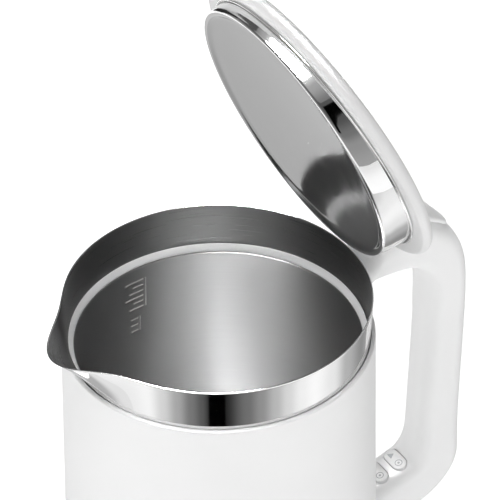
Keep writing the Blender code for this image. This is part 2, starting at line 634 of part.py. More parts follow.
def handle_stations():
    """(inner point, outer point, half width) of each section, in the XZ plane.

    The upper root is placed from the rim, the arch from the hinge and the lower part from the
    kettle's foot, so the grip between them stretches with the body. Each row holds the inner
    and outer points in mm from that place, and what the root adds to the half width.
    """
    root = [
        ((2.6, -27.0), (2.6, -6.8), 1.6),
        ((4.6, -22.2), (4.8, -6.0), 0.4),
    ]
    arch = [
        ((-3.3, -18.4), (-3.1, -2.4), 0.0),
        ((0.7, -17.8), (0.2, 2.0), 0.0),
        ((5.2, -17.8), (4.2, 3.0), 0.0),
        ((10.7, -18.0), (10.7, 3.8), 0.0),
        ((16.2, -18.6), (17.2, 5.4), 0.0),
        ((20.7, -19.8), (22.5, 6.3), 0.0),
        ((24.3, -22.0), (28.2, 3.8), 0.0),
        ((27.1, -25.4), (33.7, 0.6), 0.0),
        ((28.7, -29.6), (39.3, -3.6), 0.0),
        ((29.5, -35.1), (44.5, -11.2), 0.0),
        ((29.8, -42.1), (48.1, -20.0), 0.0),
        ((29.9, -50.6), (50.1, -32.6), 0.0),
        ((30.0, -61.6), (51.6, -54.6), 0.0),
    ]
    lower = [
        ((34.0, 80.0), (56.8, 79.0), 0.0),
        ((34.0, 66.0), (57.5, 60.0), 0.0),
        ((33.6, 58.0), (58.4, 48.0), 0.0),
        ((31.6, 52.0), (57.6, 39.6), 0.0),
        ((28.2, 48.4), (54.0, 32.4), 0.0),
        ((22.5, 46.4), (47.0, 25.4), 0.0),
        ((15.2, 44.3), (36.5, 19.4), 0.0),
        ((7.6, 42.2), (23.0, 15.2), 0.0),
        ((3.4, 41.8), (9.0, 12.0), 0.5),
        ((0.5, 44.4), (0.7, 8.6), 2.2),
    ]
    foot = Vector((body_r(KETTLE_FOOT_Z + HANDLE_FOOT_RISE), 0, KETTLE_FOOT_Z))
    placed = []
    for anchor, rows in ((Vector((RIM_R, 0, RIM_Z)), root), (HINGE, arch), (foot, lower)):
        for inner, outer, extra in rows:
            placed.append((
                anchor + Vector((inner[0], 0, inner[1])) * MM,
                anchor + Vector((outer[0], 0, outer[1])) * MM,
                HANDLE_HALF + extra * MM,
            ))
    return placed


def handle_screw_heights():
    return [KETTLE_FOOT_Z + rise for rise in HANDLE_SCREWS]


def section(inner, outer, half, rounding, steps=ROOT_SEGMENTS):
    """A rounded rectangle from inner to outer, and half as far to each side in Y."""
    middle = (inner + outer) / 2
    up = (outer - inner).normalized()
    high = (outer - inner).length / 2
    rounding = min(rounding, high - 0.2 * MM, half - 0.2 * MM)
    ring = []
    for side_u, side_y, start in ((1, 1, 0), (1, -1, 90), (-1, -1, 180), (-1, 1, 270)):
        for step in range(steps):
            angle = radians(start + 90 * step / (steps - 1))
            y = side_y * (half - rounding) + rounding * cos(angle)
            u = side_u * (high - rounding) + rounding * sin(angle)
            ring.append(middle + up * u + Vector((0, y, 0)))
    return ring


def root_rings(ring, clearance):
    """The rings of a root's end face, from its middle out, which follows the body's surface."""
    middle = sum(ring, Vector()) / len(ring)
    return [
        saddled([middle + (p - middle) * share for p in ring], clearance)
        for share in (0.05, 0.35, 0.7, 1.0)
    ]


def saddled(ring, clearance):
    """The ring pushed along X onto the body's surface, with a clearance."""
    return [
        Vector((sqrt((body_r(min(p.z, COLLAR_FOOT_Z)) + clearance) ** 2 - p.y ** 2), p.y, p.z))
        for p in ring
    ]


def strip_section(inner, outer, deep, half, above):
    """A plain rectangle that starts deep under the outer face, or above the inner one."""
    up = (outer - inner).normalized()
    low = outer - up * deep
    high = outer + up * above
    return [low + Vector((0, half, 0)), high + Vector((0, half, 0)),
            high - Vector((0, half, 0)), low - Vector((0, half, 0))]


def make_handle(white, steel):
    stations = handle_stations()
    rings = [section(i, o, half, HANDLE_ROUND) for i, o, half in stations]
    rings[:1] = root_rings(rings[0], GAP)
    rings[-1:] = reversed(root_rings(rings[-1], GAP))
    shell = lofted("handle_shell", rings, white)
    for number, z in enumerate(handle_screw_heights()):
        hole = rod(f"guide_root_hole_{number}", (body_r(z) - WALL, 0, z),
                   (body_r(z) + SCREW_LENGTH, 0, z), SCREW_R + GAP, steel)
        shape_with(shell, "DIFFERENCE", hole)

    slot_half = TONGUE_HALF + GAP
    slot = box("guide_hinge_slot", (RIM_R - SLOT_FRONT, -slot_half, HINGE.z - SLOT_DEEP),
               (HINGE.x + BARREL_R + SLOT_BACK, slot_half, HINGE.z + SLOT_HIGH), white)
    bore = rod("guide_pin_bore", (HINGE.x, -HANDLE_HALF + PIN_CHEEK, HINGE.z),
               (HINGE.x, HANDLE_HALF + 2 * MM, HINGE.z), PIN_R + GAP, steel)
    shape_with(shell, "DIFFERENCE", slot, bore)

    hollow = stations[11:-2]
    channel = [
        strip_section(i, o, (o - i).length - HANDLE_WALL, BACK_HALF + GAP, STRIP_PROUD)
        for i, o, _ in hollow
    ]
    shape_with(shell, "DIFFERENCE", lofted("guide_channel", channel, white, 20))

    strip = [strip_section(i, o, BACK_THICK, BACK_HALF, STRIP_PROUD) for i, o, _ in hollow]
    strip[0] = [p + (strip[1][0] - strip[0][0]).normalized() * GAP for p in strip[0]]
    strip[-1] = [p + (strip[-2][0] - strip[-1][0]).normalized() * GAP for p in strip[-1]]
    back = lofted("handle_back_cover", rings, white)
    shape_with(back, "INTERSECT", lofted("guide_strip", strip, white, 20))
    return shell


def slope_point(along, deep):
    """A point of the lower arm's button face: along it from the body, and under it."""
    start_x = body_r(KETTLE_FOOT_Z + HANDLE_FOOT_RISE)
    start_z = KETTLE_FOOT_Z + BUTTON_RISE
    x = start_x + along * cos(BUTTON_SLOPE) + deep * sin(BUTTON_SLOPE)
    z = start_z + along * sin(BUTTON_SLOPE) - deep * cos(BUTTON_SLOPE)
    return Vector((x, 0, z))


def pill(centre, half_long, half_wide, steps=8):
    """A pill outline across Y on the button face."""
    along = Vector((cos(BUTTON_SLOPE), 0, sin(BUTTON_SLOPE)))
    across = Vector((0, 1, 0))
    ring = []
    for side, start in ((1, 0), (-1, 180)):
        for step in range(steps + 1):
            angle = radians(start + 180 * step / steps)
            y = side * (half_long - half_wide) + half_wide * sin(angle)
            ring.append(centre + along * half_wide * cos(angle) + across * y)
    return ring


def make_buttons(shell, white, green, dark):
    along = Vector((cos(BUTTON_SLOPE), 0, sin(BUTTON_SLOPE)))
    across = Vector((0, 1, 0))
    under = Vector((sin(BUTTON_SLOPE), 0, -cos(BUTTON_SLOPE)))
    for number, name in enumerate(("warm_button", "boil_button")):
        face = slope_point(BUTTON_FROM_ROOT + number * BUTTON_PITCH, 0)
        edge = -BUTTON_PROUD + BUTTON_ROUND
        levels = ((-BUTTON_PROUD, BUTTON_ROUND), (edge, 0), (BUTTON_DEEP, 0))
        lofted(name, [pill(face + under * deep, BUTTON_HALF_LONG - trim, BUTTON_HALF_WIDE - trim)
                      for deep, trim in levels], white)
        wide = BUTTON_HALF_WIDE + GAP
        long = BUTTON_HALF_LONG + GAP
        hole = [pill(face + under * deep, long, wide) for deep in (-STRIP_PROUD, BUTTON_SEAT)]
        shape_with(shell, "DIFFERENCE", lofted(f"guide_{name}", hole, white))
        low = BUTTON_DEEP + BUTTON_TRAVEL + GAP
        switch = [
            [face + under * deep + (along * x + across * y) * SWITCH_HALF
             for x, y in ((-1, -1), (1, -1), (1, 1), (-1, 1))]
            for deep in (low, low + SWITCH_HIGH)
        ]
        lofted(name.replace("button", "switch"), switch, dark, 20)
    deep = BUTTON_DEEP + BUTTON_TRAVEL + 2 * GAP + SWITCH_HIGH
    first = BUTTON_FROM_ROOT - BUTTON_BOARD_BEFORE
    last = BUTTON_FROM_ROOT + BUTTON_PITCH + BUTTON_BOARD_AFTER
    corners = ((first, -1), (last, -1), (last, 1), (first, 1))
    half = BACK_HALF - GAP
    board = [
        [slope_point(out, deep + layer) + across * side * half for out, side in corners]
        for layer in (0, BOARD_THICK)
    ]
    lofted("button_board", board, green, 20)


# ---------------------------------------------------------------- lid

def make_lid(white, steel, polished, grey):
    """The pieces of the lid, built closed."""
    edge_r = RIM_R + COVER_PROUD
    low = RIM_Z + COVER_LIFT
    high = low + COVER_THICK
    inner_r = RIM_R - BAND_IN - STEEL - GAP
    middle = low + COVER_THICK * 0.42
    rise = high - middle
    profile = [(0, high + COVER_CROWN), (edge_r * 0.55, high + COVER_CROWN * 0.75)]
    profile += [(edge_r * 0.84, high + COVER_CROWN * 0.2)]
    profile += arc((edge_r - rise, middle), rise, 90, 0, 4)
    profile += [(edge_r - 0.5 * MM, low + COVER_LIP), (edge_r - COVER_UNDERCUT, low)]
    profile += [(inner_r, low), (inner_r, high - COVER_SKIN)]
    profile += [(0, high + COVER_CROWN - COVER_SKIN)]
    pieces = [turned("lid_cover", profile, white)]

    frame_low = low + FRAME_RISE
    frame_top = high - COVER_SKIN - GAP
    frame_r = inner_r - LINER_GAP
    web_top = frame_low + FRAME_THICK
    flange_r = frame_r - FRAME_FLANGE
    frame = [(FRAME_BORE_R, frame_low), (FRAME_BORE_R, web_top), (flange_r, web_top)]
    frame += [(flange_r, frame_top), (frame_r, frame_top), (frame_r, frame_low)]
    holder = turned("lid_inner_frame", frame, grey)
    pieces.append(holder)
    for number in range(3):
        x, y = around(LID_SCREW_RING, number / 3 + 1 / 6)
        hole = rod(f"guide_lid_hole_{number}", (x, y, frame_low - 1 * MM),
                   (x, y, web_top + 1 * MM), SCREW_R + GAP, grey)
        shape_with(holder, "DIFFERENCE", hole, solver="MANIFOLD")
        pieces.append(hole)
        length = high - COVER_SKIN - frame_low + 2 * GAP
        pieces.append(screw(f"lid_screw_{number + 1}", (x, y, frame_low - GAP), (0, 0, 1), steel,
                            SCREW_HEAD, length))
    pieces.append(make_lid_pan(low, steel))
    trim_in = RIM_R - BAND_IN + GAP
    trim_top = low - GAP
    trim = [(trim_in, trim_top - TRIM_HIGH), (trim_in + TRIM_WIDTH, trim_top - TRIM_HIGH)]
    trim += [(trim_in + TRIM_WIDTH, trim_top), (trim_in, trim_top)]
    pieces.append(turned("lid_trim_ring", trim, polished))
    return pieces


def make_lid_pan(low, steel):
    """A drawn steel cup whose floor is tilted: it is deeper at the hinge than at the spout."""
    top = low - GAP
    top_r = RIM_R - BAND_IN
    foot_r = top_r - BAND_DRAFT
    tilt = (BAND_BACK - BAND_FRONT) / (2 * foot_r)
    mean = (BAND_BACK + BAND_FRONT) / 2
    # (radius, share of the way down to the tilted floor, height over it)
    rings = [
        (top_r, 0.0, 0.0),
        (top_r - BAND_DRAFT * 0.5, 0.5, 0.0),
        (foot_r, 1.0, 1.2 * MM),
        (foot_r - 0.4 * MM, 1.0, 0.35 * MM),
        (foot_r - 1.2 * MM, 1.0, 0.0),
        (foot_r - 2.4 * MM, 1.0, 0.2 * MM),
        (foot_r - 4.2 * MM, 1.0, PAN_DISH * 0.8),
        (foot_r - 7.5 * MM, 1.0, PAN_DISH),
        (foot_r * 0.5, 1.0, PAN_DISH * 1.1),
        (0.0, 1.0, PAN_DISH * 1.15),
        (0.0, 1.0, PAN_DISH * 1.15 + STEEL),
        (foot_r * 0.5, 1.0, PAN_DISH * 1.1 + STEEL),
        (foot_r - 7.5 * MM, 1.0, PAN_DISH + STEEL),
        (foot_r - 4.2 * MM, 1.0, PAN_DISH * 0.8 + STEEL),
        (foot_r - 2.2 * MM, 1.0, 0.4 * MM + STEEL),
        (foot_r - STEEL, 1.0, 1.4 * MM + STEEL),
        (top_r - BAND_DRAFT * 0.5 - STEEL, 0.5, 0.0),
        (top_r - STEEL, 0.0, 0.0),
    ]
    mesh = bpy.data.meshes.new("lid_pan")
    work = bmesh.new()
    loops = []
    for radius, share, lift in rings:
        loop = []
        for angle in turns(SEGMENTS) if radius else [0.0]:
            x = radius * cos(angle)
            floor = -mean - tilt * x
            point = (x - PAN_SHIFT * share, radius * sin(angle), top + floor * share + lift)
            loop.append(work.verts.new(point))
        loops.append(loop)
    for first, second in zip(loops, loops[1:] + loops[:1]):
        for step in range(SEGMENTS):
            after = (step + 1) % SEGMENTS
            corners = [first[step % len(first)], first[after % len(first)]]
            corners += [second[after % len(second)], second[step % len(second)]]
            corners = list(dict.fromkeys(corners))
            if len(corners) > 2:
                work.faces.new(corners)
    work.to_mesh(mesh)
    work.free()
    return add("lid_pan", mesh, steel)


def from_hinge(points):
    return [(HINGE.x + x * MM, HINGE.z + z * MM) for x, z in points]


def make_lever(white, steel):
    """The thumb lever and hinge tongue of the lid, in the lid's open place."""
    wing = from_hinge([
        (5.6, 4.6), (9.0, 4.4), (15.5, 5.6), (22.4, 7.1), (27.6, 4.8), (33.0, 2.0),
        (35.8, 0.5), (37.1, 1.1), (35.9, 2.9), (31.2, 8.7), (27.2, 12.1), (23.3, 14.9),
        (20.6, 16.4), (14.0, 17.0), (8.0, 16.0), (5.6, 14.6),
    ])
    lever = plate_y("lid_lever", wing, HANDLE_HALF - GAP, white)
    bevel = lever.modifiers.new("soft_edges", "BEVEL")
    bevel.width = LEVER_EDGE
    bevel.segments = 2
    bevel.limit_method = "ANGLE"
    bevel.angle_limit = radians(60)
    hub = arc((HINGE.x, HINGE.z), BARREL_R, 180, 360, 8)
    tongue = hub + from_hinge([(6.6, 4.8), (7.0, 15.0), (4.6, 14.4), (1.8, 11.4)])
    tongue += from_hinge([(-1.6, 8.0), (-BARREL_R / MM, 5.4)])
    root = plate_y("guide_tongue", tongue, TONGUE_HALF, white)
    shape_with(lever, "UNION", root)
    bore = rod("guide_barrel_bore", (HINGE.x, -2 * HANDLE_HALF, HINGE.z),
               (HINGE.x, 2 * HANDLE_HALF, HINGE.z), PIN_R + GAP, steel)
    room = rod("guide_spring_room", (HINGE.x, -SPRING_HALF, HINGE.z),
               (HINGE.x, SPRING_HALF, HINGE.z), BARREL_R + 2 * GAP, steel)
    shape_with(lever, "DIFFERENCE", bore, room)
    return lever


def lid_cover_room(white):
    """The room of the closed lid cover, which the lever is shaped round."""
    edge_r = RIM_R + COVER_PROUD + GAP
    low = RIM_Z + COVER_LIFT - GAP
    high = RIM_Z + COVER_LIFT + COVER_THICK + COVER_CROWN + GAP
    return turned("guide_cover_room", [(0, low), (edge_r, low), (edge_r, high), (0, high)], white)


def make_hinge_metal(steel):
    rod("hinge_pin", (HINGE.x, -HANDLE_HALF + PIN_CHEEK + GAP, HINGE.z),
        (HINGE.x, HANDLE_HALF - PIN_SHORT, HINGE.z), PIN_R, steel)
    coil_r = PIN_R + GAP + SPRING_WIRE_R
    length = 2 * (SPRING_HALF - GAP - SPRING_WIRE_R)
    steps = SPRING_TURNS * 12
    rings = []
    for step in range(steps + 1):
        turn = 2 * pi * SPRING_TURNS * step / steps
        outward = Vector((cos(turn), 0, sin(turn)))
        side = Vector((0, 1, 0))
        centre = Vector((HINGE.x, 0, HINGE.z)) + outward * coil_r
        centre += side * length * (step / steps - 0.5)
        rings.append([
            centre + outward * SPRING_WIRE_R * cos(a) + side * SPRING_WIRE_R * sin(a)
            for a in turns(6)
        ])
    lofted("lid_spring", rings, steel, 70)


def hang_lid(closed_pieces, open_pieces):
    """Puts the lid on an empty at the hinge line and turns it to the open stop."""
    pivot = bpy.data.objects.new("lid_hinge_line", None)
    bpy.context.collection.objects.link(pivot)
    pivot.location = HINGE
    pivot.rotation_euler = (0, LID_OPEN, 0)
    opened = Matrix.Translation(HINGE) @ Matrix.Rotation(LID_OPEN, 4, "Y")
    for piece in closed_pieces:
        piece.parent = pivot
        piece.matrix_parent_inverse = Matrix.Translation(-HINGE)
    for piece in open_pieces:
        piece.parent = pivot
        piece.matrix_parent_inverse = opened.inverted()


def main():
    clear_scene()
    white = material("white_plastic", (0.86, 0.86, 0.86), 0.38)
    seal_white = material("seal_silicone", (0.85, 0.86, 0.86), 0.6)
    grey = material("grey_plastic", (0.62, 0.63, 0.64), 0.5)
    dark = material("dark_plastic", (0.06, 0.06, 0.065), 0.5)
    steel = material("brushed_steel", (0.62, 0.61, 0.6), 0.28, 1.0)
    polished = material("polished_steel", (0.78, 0.78, 0.78), 0.08, 1.0)
    aluminium = material("cast_aluminium", (0.7, 0.7, 0.71), 0.45, 1.0)
    brass = material("brass", (0.75, 0.6, 0.3), 0.3, 1.0)
    rubber = material("grey_rubber", (0.2, 0.2, 0.21), 0.8)
    green = material("circuit_board", (0.05, 0.2, 0.1), 0.5)

    make_base(white, dark, brass, rubber, steel)
    screw_ring = make_outer_shell(white, steel)
    board_place = make_bottom_cover(screw_ring, grey, steel)
    make_control_board(board_place, green, dark)
    make_pot(steel, seal_white)
    make_collar(polished)
    make_heater(aluminium, dark, brass, steel)
    shell = make_handle(white, steel)
    make_buttons(shell, white, green, dark)
    make_hinge_metal(steel)
    lever = make_lever(white, steel)
    room = lid_cover_room(white)
    shape_with(lever, "DIFFERENCE", room)
    hang_lid(make_lid(white, steel, polished, grey) + [room], [lever])


main()
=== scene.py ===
"""Looks of the electric kettle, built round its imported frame. Metres, +Z up, as in the frame.

The kettle's round axis is Z, the handle and the hinge are towards +X and the spout towards -X.
Pieces of the lid are built closed and turned to their open place.
"""

import json
from math import cos, exp, pi, radians, sin, sqrt

import bmesh
import bpy
from mathutils import Matrix, Vector


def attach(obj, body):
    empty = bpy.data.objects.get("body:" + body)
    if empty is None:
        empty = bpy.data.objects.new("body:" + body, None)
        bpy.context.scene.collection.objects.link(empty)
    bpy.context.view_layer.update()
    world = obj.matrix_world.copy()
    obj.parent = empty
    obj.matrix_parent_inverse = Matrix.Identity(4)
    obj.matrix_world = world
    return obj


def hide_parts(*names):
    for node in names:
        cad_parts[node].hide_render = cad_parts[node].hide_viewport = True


MM = 0.001
GAP = 0.3 * MM
ROUND = 192                 # facets round the big turned pieces
CORNER = 11                 # points in each rounded corner of a handle section
BETWEEN = 6                 # sections laid between two stations of the handle

# Mouth and body
RIM_R = 64.0 * MM
RIM_Z = 203.0 * MM
STEEL = 0.6 * MM
COLLAR_DRAFT = 0.4 * MM
COLLAR_SHOWN = 18.5 * MM
COLLAR_TUCK = 4.4 * MM
SHOULDER = 1.7 * MM
BODY_FLARE = 6.6 * MM
WALL = 2.2 * MM
EDGE_ROUND = 0.9 * MM
KETTLE_FOOT_Z = 17.2 * MM
SPOUT_REACH = 12.8 * MM
SPOUT_WIDTH = radians(15.3)
SPOUT_DIP = 3.0 * MM
SPOUT_POWER = 1.25

# Pot and seal
POT_TOP_R = 60.5 * MM
POT_FLOOR_R = 65.4 * MM
POT_FLOOR_Z = 48.0 * MM
POT_CORNER = 6.0 * MM
SEAL_RISE = 3.1 * MM

# Power base
BASE_R = 72.5 * MM
BASE_TOP_Z = 16.6 * MM
BASE_PLATE_Z = 1.5 * MM
BASE_WALL = 2.0 * MM
BASE_EDGE = 3.4 * MM
BOSS_R = 22.0 * MM
BOSS_TOP_Z = 25.4 * MM
BOSS_BORE_R = 18.9 * MM
INLET_R = 4.2 * MM
INLET_Z = 8.8 * MM

# Lid
LID_OPEN = radians(65)
HINGE = Vector((75.3, 0, 201.6)) * MM
COVER_R = 68.2 * MM
COVER_LOW = 203.4 * MM
COVER_HIGH = 208.8 * MM
COVER_CROWN = 1.0 * MM
COVER_SKIN = 2.0 * MM
COVER_BORE_R = 59.1 * MM
BAND_TOP_R = 60.0 * MM
BAND_DRAFT = 1.1 * MM
BAND_BACK = 14.5 * MM
BAND_FRONT = 6.3 * MM
PAN_DISH = 1.5 * MM
PAN_SHIFT = 1.6 * MM
TRIM_WIDTH = 1.0 * MM
TRIM_HIGH = 0.7 * MM
BARREL_R = 3.3 * MM
PIN_R = 1.25 * MM
TONGUE_HALF = 6.8 * MM
SPRING_HALF = 2.4 * MM

# Handle and buttons
HANDLE_HALF = 11.0 * MM
HANDLE_ROUND = 8.5 * MM
HANDLE_WALL = 2.4 * MM
BACK_HALF = 6.5 * MM
BACK_THICK = 3.2 * MM
BUTTON_SLOPE = radians(15.6)
BUTTON_RISE = 40.1 * MM
BUTTON_FROM_ROOT = 15.4 * MM
BUTTON_PITCH = 11.1 * MM
BUTTON_HALF_LONG = 7.0 * MM
BUTTON_HALF_WIDE = 3.7 * MM
BUTTON_PROUD = 0.25 * MM
BUTTON_DEEP = 3.4 * MM
BUTTON_SEAT = 4.8 * MM

# Camera and light
CAMERA_AT = Vector((-295.09, -510.65, 651.58)) * MM
CAMERA_AZIMUTH = radians(-31.3)
CAMERA_ELEVATION = radians(35.91)
CAMERA_LENS = 129.6
WORLD_LEFT = 0.0336    # the air's faint light towards -X and towards +X
WORLD_RIGHT = 0.0316
BACKDROP_GLOW = 1.0    # what the camera sees past the floor
CEILING_GLOW = 74.0
FLOOR_GLOW = 0.78
FAR_FLOOR_GLOW = 0.97
FLOOR_CHANGE = (1.2, 3.0)    # metres from the kettle between which the glow rises

COLLAR_FOOT_Z = RIM_Z - COLLAR_SHOWN
FLANGE_Z = COLLAR_FOOT_Z - COLLAR_TUCK - GAP
OPENED = (Matrix.Translation(HINGE) @ Matrix.Rotation(LID_OPEN, 4, "Y")
          @ Matrix.Translation(-HINGE))
ALONG = Vector((cos(BUTTON_SLOPE), 0, sin(BUTTON_SLOPE)))
ACROSS = Vector((0, 1, 0))
UNDER = Vector((sin(BUTTON_SLOPE), 0, -cos(BUTTON_SLOPE)))

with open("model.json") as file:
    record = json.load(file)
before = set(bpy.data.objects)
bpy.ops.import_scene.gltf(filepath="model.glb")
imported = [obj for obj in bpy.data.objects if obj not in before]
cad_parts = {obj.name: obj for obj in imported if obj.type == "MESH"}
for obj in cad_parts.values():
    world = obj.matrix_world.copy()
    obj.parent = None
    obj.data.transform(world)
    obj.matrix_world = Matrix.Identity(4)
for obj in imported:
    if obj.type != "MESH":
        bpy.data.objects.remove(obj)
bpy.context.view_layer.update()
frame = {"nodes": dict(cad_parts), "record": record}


# ------------------------------------------------------------------ materials

class Finish:
    """A material made of nodes, with short calls for the parts that the finishes share."""

    def __init__(self, name, colour, roughness, metallic=0.0, **sockets):
        self.made = bpy.data.materials.new(name)
        self.made.use_nodes = True
        self.tree = self.made.node_tree
        self.shader = self.tree.nodes["Principled BSDF"]
        self.shader.inputs["Base Color"].default_value = (*colour, 1)
        self.shader.inputs["Roughness"].default_value = roughness
        self.shader.inputs["Metallic"].default_value = metallic
        for socket, value in sockets.items():
            self.shader.inputs[socket.replace("_", " ")].default_value = value
        self.colour = colour
        self.roughness = roughness
        self.place = self.node("TexCoord").outputs["Object"]

    def node(self, kind, **settings):
        made = self.tree.nodes.new("ShaderNode" + kind)
        for name, value in settings.items():
            setattr(made, name, value)
        return made

    def link(self, output, target):
        self.tree.links.new(output, target)

    def noise(self, scale, detail=3.0, stretch=None, place=None):
        place = place or self.place
        if stretch:
            mapping = self.node("Mapping")
            mapping.inputs["Scale"].default_value = stretch
            self.link(place, mapping.inputs["Vector"])
            place = mapping.outputs["Vector"]
        made = self.node("TexNoise")
        made.inputs["Scale"].default_value = scale
        made.inputs["Detail"].default_value = detail
        self.link(place, made.inputs["Vector"])
        return made.outputs["Fac"]

    def math(self, operation, first, second=None):
        made = self.node("Math", operation=operation)
        for socket, value in zip(made.inputs, (first, second)):
            if value is None:
                continue
            if isinstance(value, (int, float)):
                socket.default_value = value
            else:
                self.link(value, socket)
        return made.outputs[0]

    def spread(self, source, low, high):
        made = self.node("MapRange")
        made.inputs["From Min"].default_value = 0.3
        made.inputs["From Max"].default_value = 0.7
        made.inputs["To Min"].default_value = low
        made.inputs["To Max"].default_value = high
        self.link(source, made.inputs["Value"])
        return made.outputs["Result"]

    def vary_colour(self, source, amount):
        """The base colour, a little darker and lighter with the source."""
        ramp = self.node("ValToRGB")
        ramp.color_ramp.elements[0].position = 0.3
        ramp.color_ramp.elements[1].position = 0.7
        for element, share in zip(ramp.color_ramp.elements, (1 - amount, 1 + amount)):
            element.color = (*(min(part * share, 1) for part in self.colour), 1)
        self.link(source, ramp.inputs["Fac"])
        self.link(ramp.outputs["Color"], self.shader.inputs["Base Color"])

    def vary_roughness(self, source, amount):
        low, high = self.roughness * (1 - amount), self.roughness * (1 + amount)
        self.link(self.spread(source, low, high), self.shader.inputs["Roughness"])

    def bump(self, source, depth, strength=1.0):
        made = self.node("Bump")
        made.inputs["Distance"].default_value = depth
        made.inputs["Strength"].default_value = strength
        self.link(source, made.inputs["Height"])
        self.link(made.outputs["Normal"], self.shader.inputs["Normal"])

    def round_the_axis(self, turns, rise):
        """Coordinates stretched round the kettle's axis, so a noise on them is a brush mark."""
        parts = self.node("SeparateXYZ")
        self.link(self.place, parts.inputs[0])
        angle = self.math("ARCTAN2", parts.outputs["Y"], parts.outputs["X"])
        joined = self.node("CombineXYZ")
        self.link(self.math("MULTIPLY", angle, turns), joined.inputs["X"])
        self.link(self.math("MULTIPLY", parts.outputs["Z"], rise), joined.inputs["Z"])
        return joined.outputs["Vector"]

    def brush_round(self, anisotropy):
        """Stretches highlights along the axis, as marks that run round it do."""
        self.shader.inputs["Anisotropic"].default_value = anisotropy
        self.shader.inputs["Anisotropic Rotation"].default_value = 0.25
        tangent = self.node("Tangent", direction_type="RADIAL", axis="Z")
        self.link(tangent.outputs["Tangent"], self.shader.inputs["Tangent"])


def moulded_plastic(name, colour, roughness, grain=9000, depth=0.000004):
    """Plastic with the fine texture of its mould and a slow unevenness in its gloss."""
    finish = Finish(name, colour, roughness, Specular_IOR_Level=0.42)
    finish.vary_colour(finish.noise(35, 2), 0.008)
    finish.vary_roughness(finish.noise(160, 4), 0.1)
    finish.bump(finish.noise(grain, 2), depth, 0.5)
    return finish.made


def brushed_steel(name, colour, roughness, anisotropy):
    """Sheet steel brushed round the kettle's axis."""
    finish = Finish(name, colour, roughness, 1.0)
    marks = finish.noise(1.0, 5, place=finish.round_the_axis(1.4, 2600))
    finish.vary_colour(marks, 0.035)
    finish.vary_roughness(marks, 0.16)
    finish.bump(marks, 0.0000016, 0.35)
    finish.brush_round(anisotropy)
    return finish.made


def polished_steel(name, colour, roughness):
    """Mirror steel with a trace of polishing haze."""
    finish = Finish(name, colour, roughness, 1.0)
    haze = finish.noise(90, 5)
    finish.vary_colour(haze, 0.012)
    finish.vary_roughness(haze, 0.3)
    return finish.made


def cast_metal(name, colour, roughness):
    finish = Finish(name, colour, roughness, 1.0)
    grain = finish.noise(1400, 4)
    finish.vary_colour(grain, 0.05)
    finish.vary_roughness(grain, 0.2)
    finish.bump(grain, 0.00002, 0.5)
    return finish.made


def silicone(name, colour):
    finish = Finish(name, colour, 0.42, Specular_IOR_Level=0.35)
    finish.vary_colour(finish.noise(60, 3), 0.01)
    finish.vary_roughness(finish.noise(500, 3), 0.15)
    finish.shader.inputs["Subsurface Weight"].default_value = 0.08
    finish.shader.inputs["Subsurface Radius"].default_value = (0.002, 0.002, 0.002)
    return finish.made


def rubber(name, colour):
    finish = Finish(name, colour, 0.75, Specular_IOR_Level=0.3)
    grain = finish.noise(2600, 3)
    finish.vary_colour(grain, 0.08)
    finish.bump(grain, 0.00003, 0.6)
    return finish.made


def circuit_board(name, colour):
    """Lacquered board with copper tracks that show faintly through the lacquer."""
    finish = Finish(name, colour, 0.35, Coat_Weight=0.4)
    tracks = finish.node("TexBrick")
    tracks.inputs["Scale"].default_value = 260
    tracks.inputs["Color1"].default_value = (*colour, 1)
    tracks.inputs["Color2"].default_value = (*(part * 0.8 for part in colour), 1)
    tracks.inputs["Mortar"].default_value = (*(part * 1.8 for part in colour), 1)
    finish.link(finish.place, tracks.inputs["Vector"])
    finish.link(tracks.outputs["Color"], finish.shader.inputs["Base Color"])
    return finish.made


def make_materials():
    """One finish for each material slot of the record, and the extra faces of the steel pieces."""
    return {
        "white_plastic": moulded_plastic("white_plastic_look", (0.9, 0.9, 0.9), 0.42),
        # painted shade: the lid's cover is the same white plastic as the body, made greyer so that
        # it looks shaded
        "painted_shade_cover_plastic": moulded_plastic("painted_shade_cover_look", (0.76, 0.76, 0.76), 0.46),
        "base_plastic": moulded_plastic("base_plastic_look", (0.8, 0.8, 0.8), 0.45),
        "button_plastic": moulded_plastic("button_plastic_look", (0.76, 0.76, 0.76), 0.4),
        "collar_steel": polished_steel("collar_polished", (0.83, 0.83, 0.83), 0.05),
        # painted shade: the inside of the collar is the same steel as its outside, made much
        # darker; its round brushing is real
        "collar_inside_painted_shade": brushed_steel("collar_brushed_painted_shade", (0.21, 0.21, 0.21), 0.31, 0.85),
        "pot_steel": brushed_steel("pot_brushed", (0.39, 0.39, 0.39), 0.4, 0.95),
        "lid_steel": polished_steel("lid_satin", (0.6, 0.6, 0.6), 0.09),
        "band_steel": polished_steel("band_polished", (0.8, 0.8, 0.8), 0.05),
        "trim_steel": polished_steel("trim_polished", (0.88, 0.88, 0.88), 0.06),
        "mark_steel": polished_steel("mark_bright", (0.6, 0.6, 0.6), 0.42),
        "small_steel": cast_metal("zinc_steel", (0.6, 0.6, 0.6), 0.3),
        "seal_silicone": silicone("seal_white", (0.95, 0.95, 0.95)),
        "grey_plastic": moulded_plastic("grey_plastic_look", (0.35, 0.36, 0.37), 0.5),
        "dark_plastic": moulded_plastic("dark_plastic_look", (0.012, 0.012, 0.013), 0.45),
        "plate_aluminium": cast_metal("cast_aluminium_look", (0.62, 0.62, 0.63), 0.42),
        "contact_brass": polished_steel("brass_look", (0.72, 0.5, 0.2), 0.22),
        "foot_rubber": rubber("rubber_look", (0.035, 0.035, 0.038)),
        "board_green": circuit_board("board_look", (0.01, 0.07, 0.02)),
        "icon_grey": moulded_plastic("icon_print", (0.33, 0.34, 0.35), 0.5),
    }


# ------------------------------------------------------------------ shapes

def turns(count):
    return [2 * pi * step / count for step in range(count)]


def arc(centre, radius, start, end, steps):
    """Points of (radius, height) on an arc, angles in degrees from the +radius direction."""
    return [
        (
            centre[0] + radius * cos(radians(start + (end - start) * step / steps)),
            centre[1] + radius * sin(radians(start + (end - start) * step / steps)),
        )
        for step in range(steps + 1)
    ]


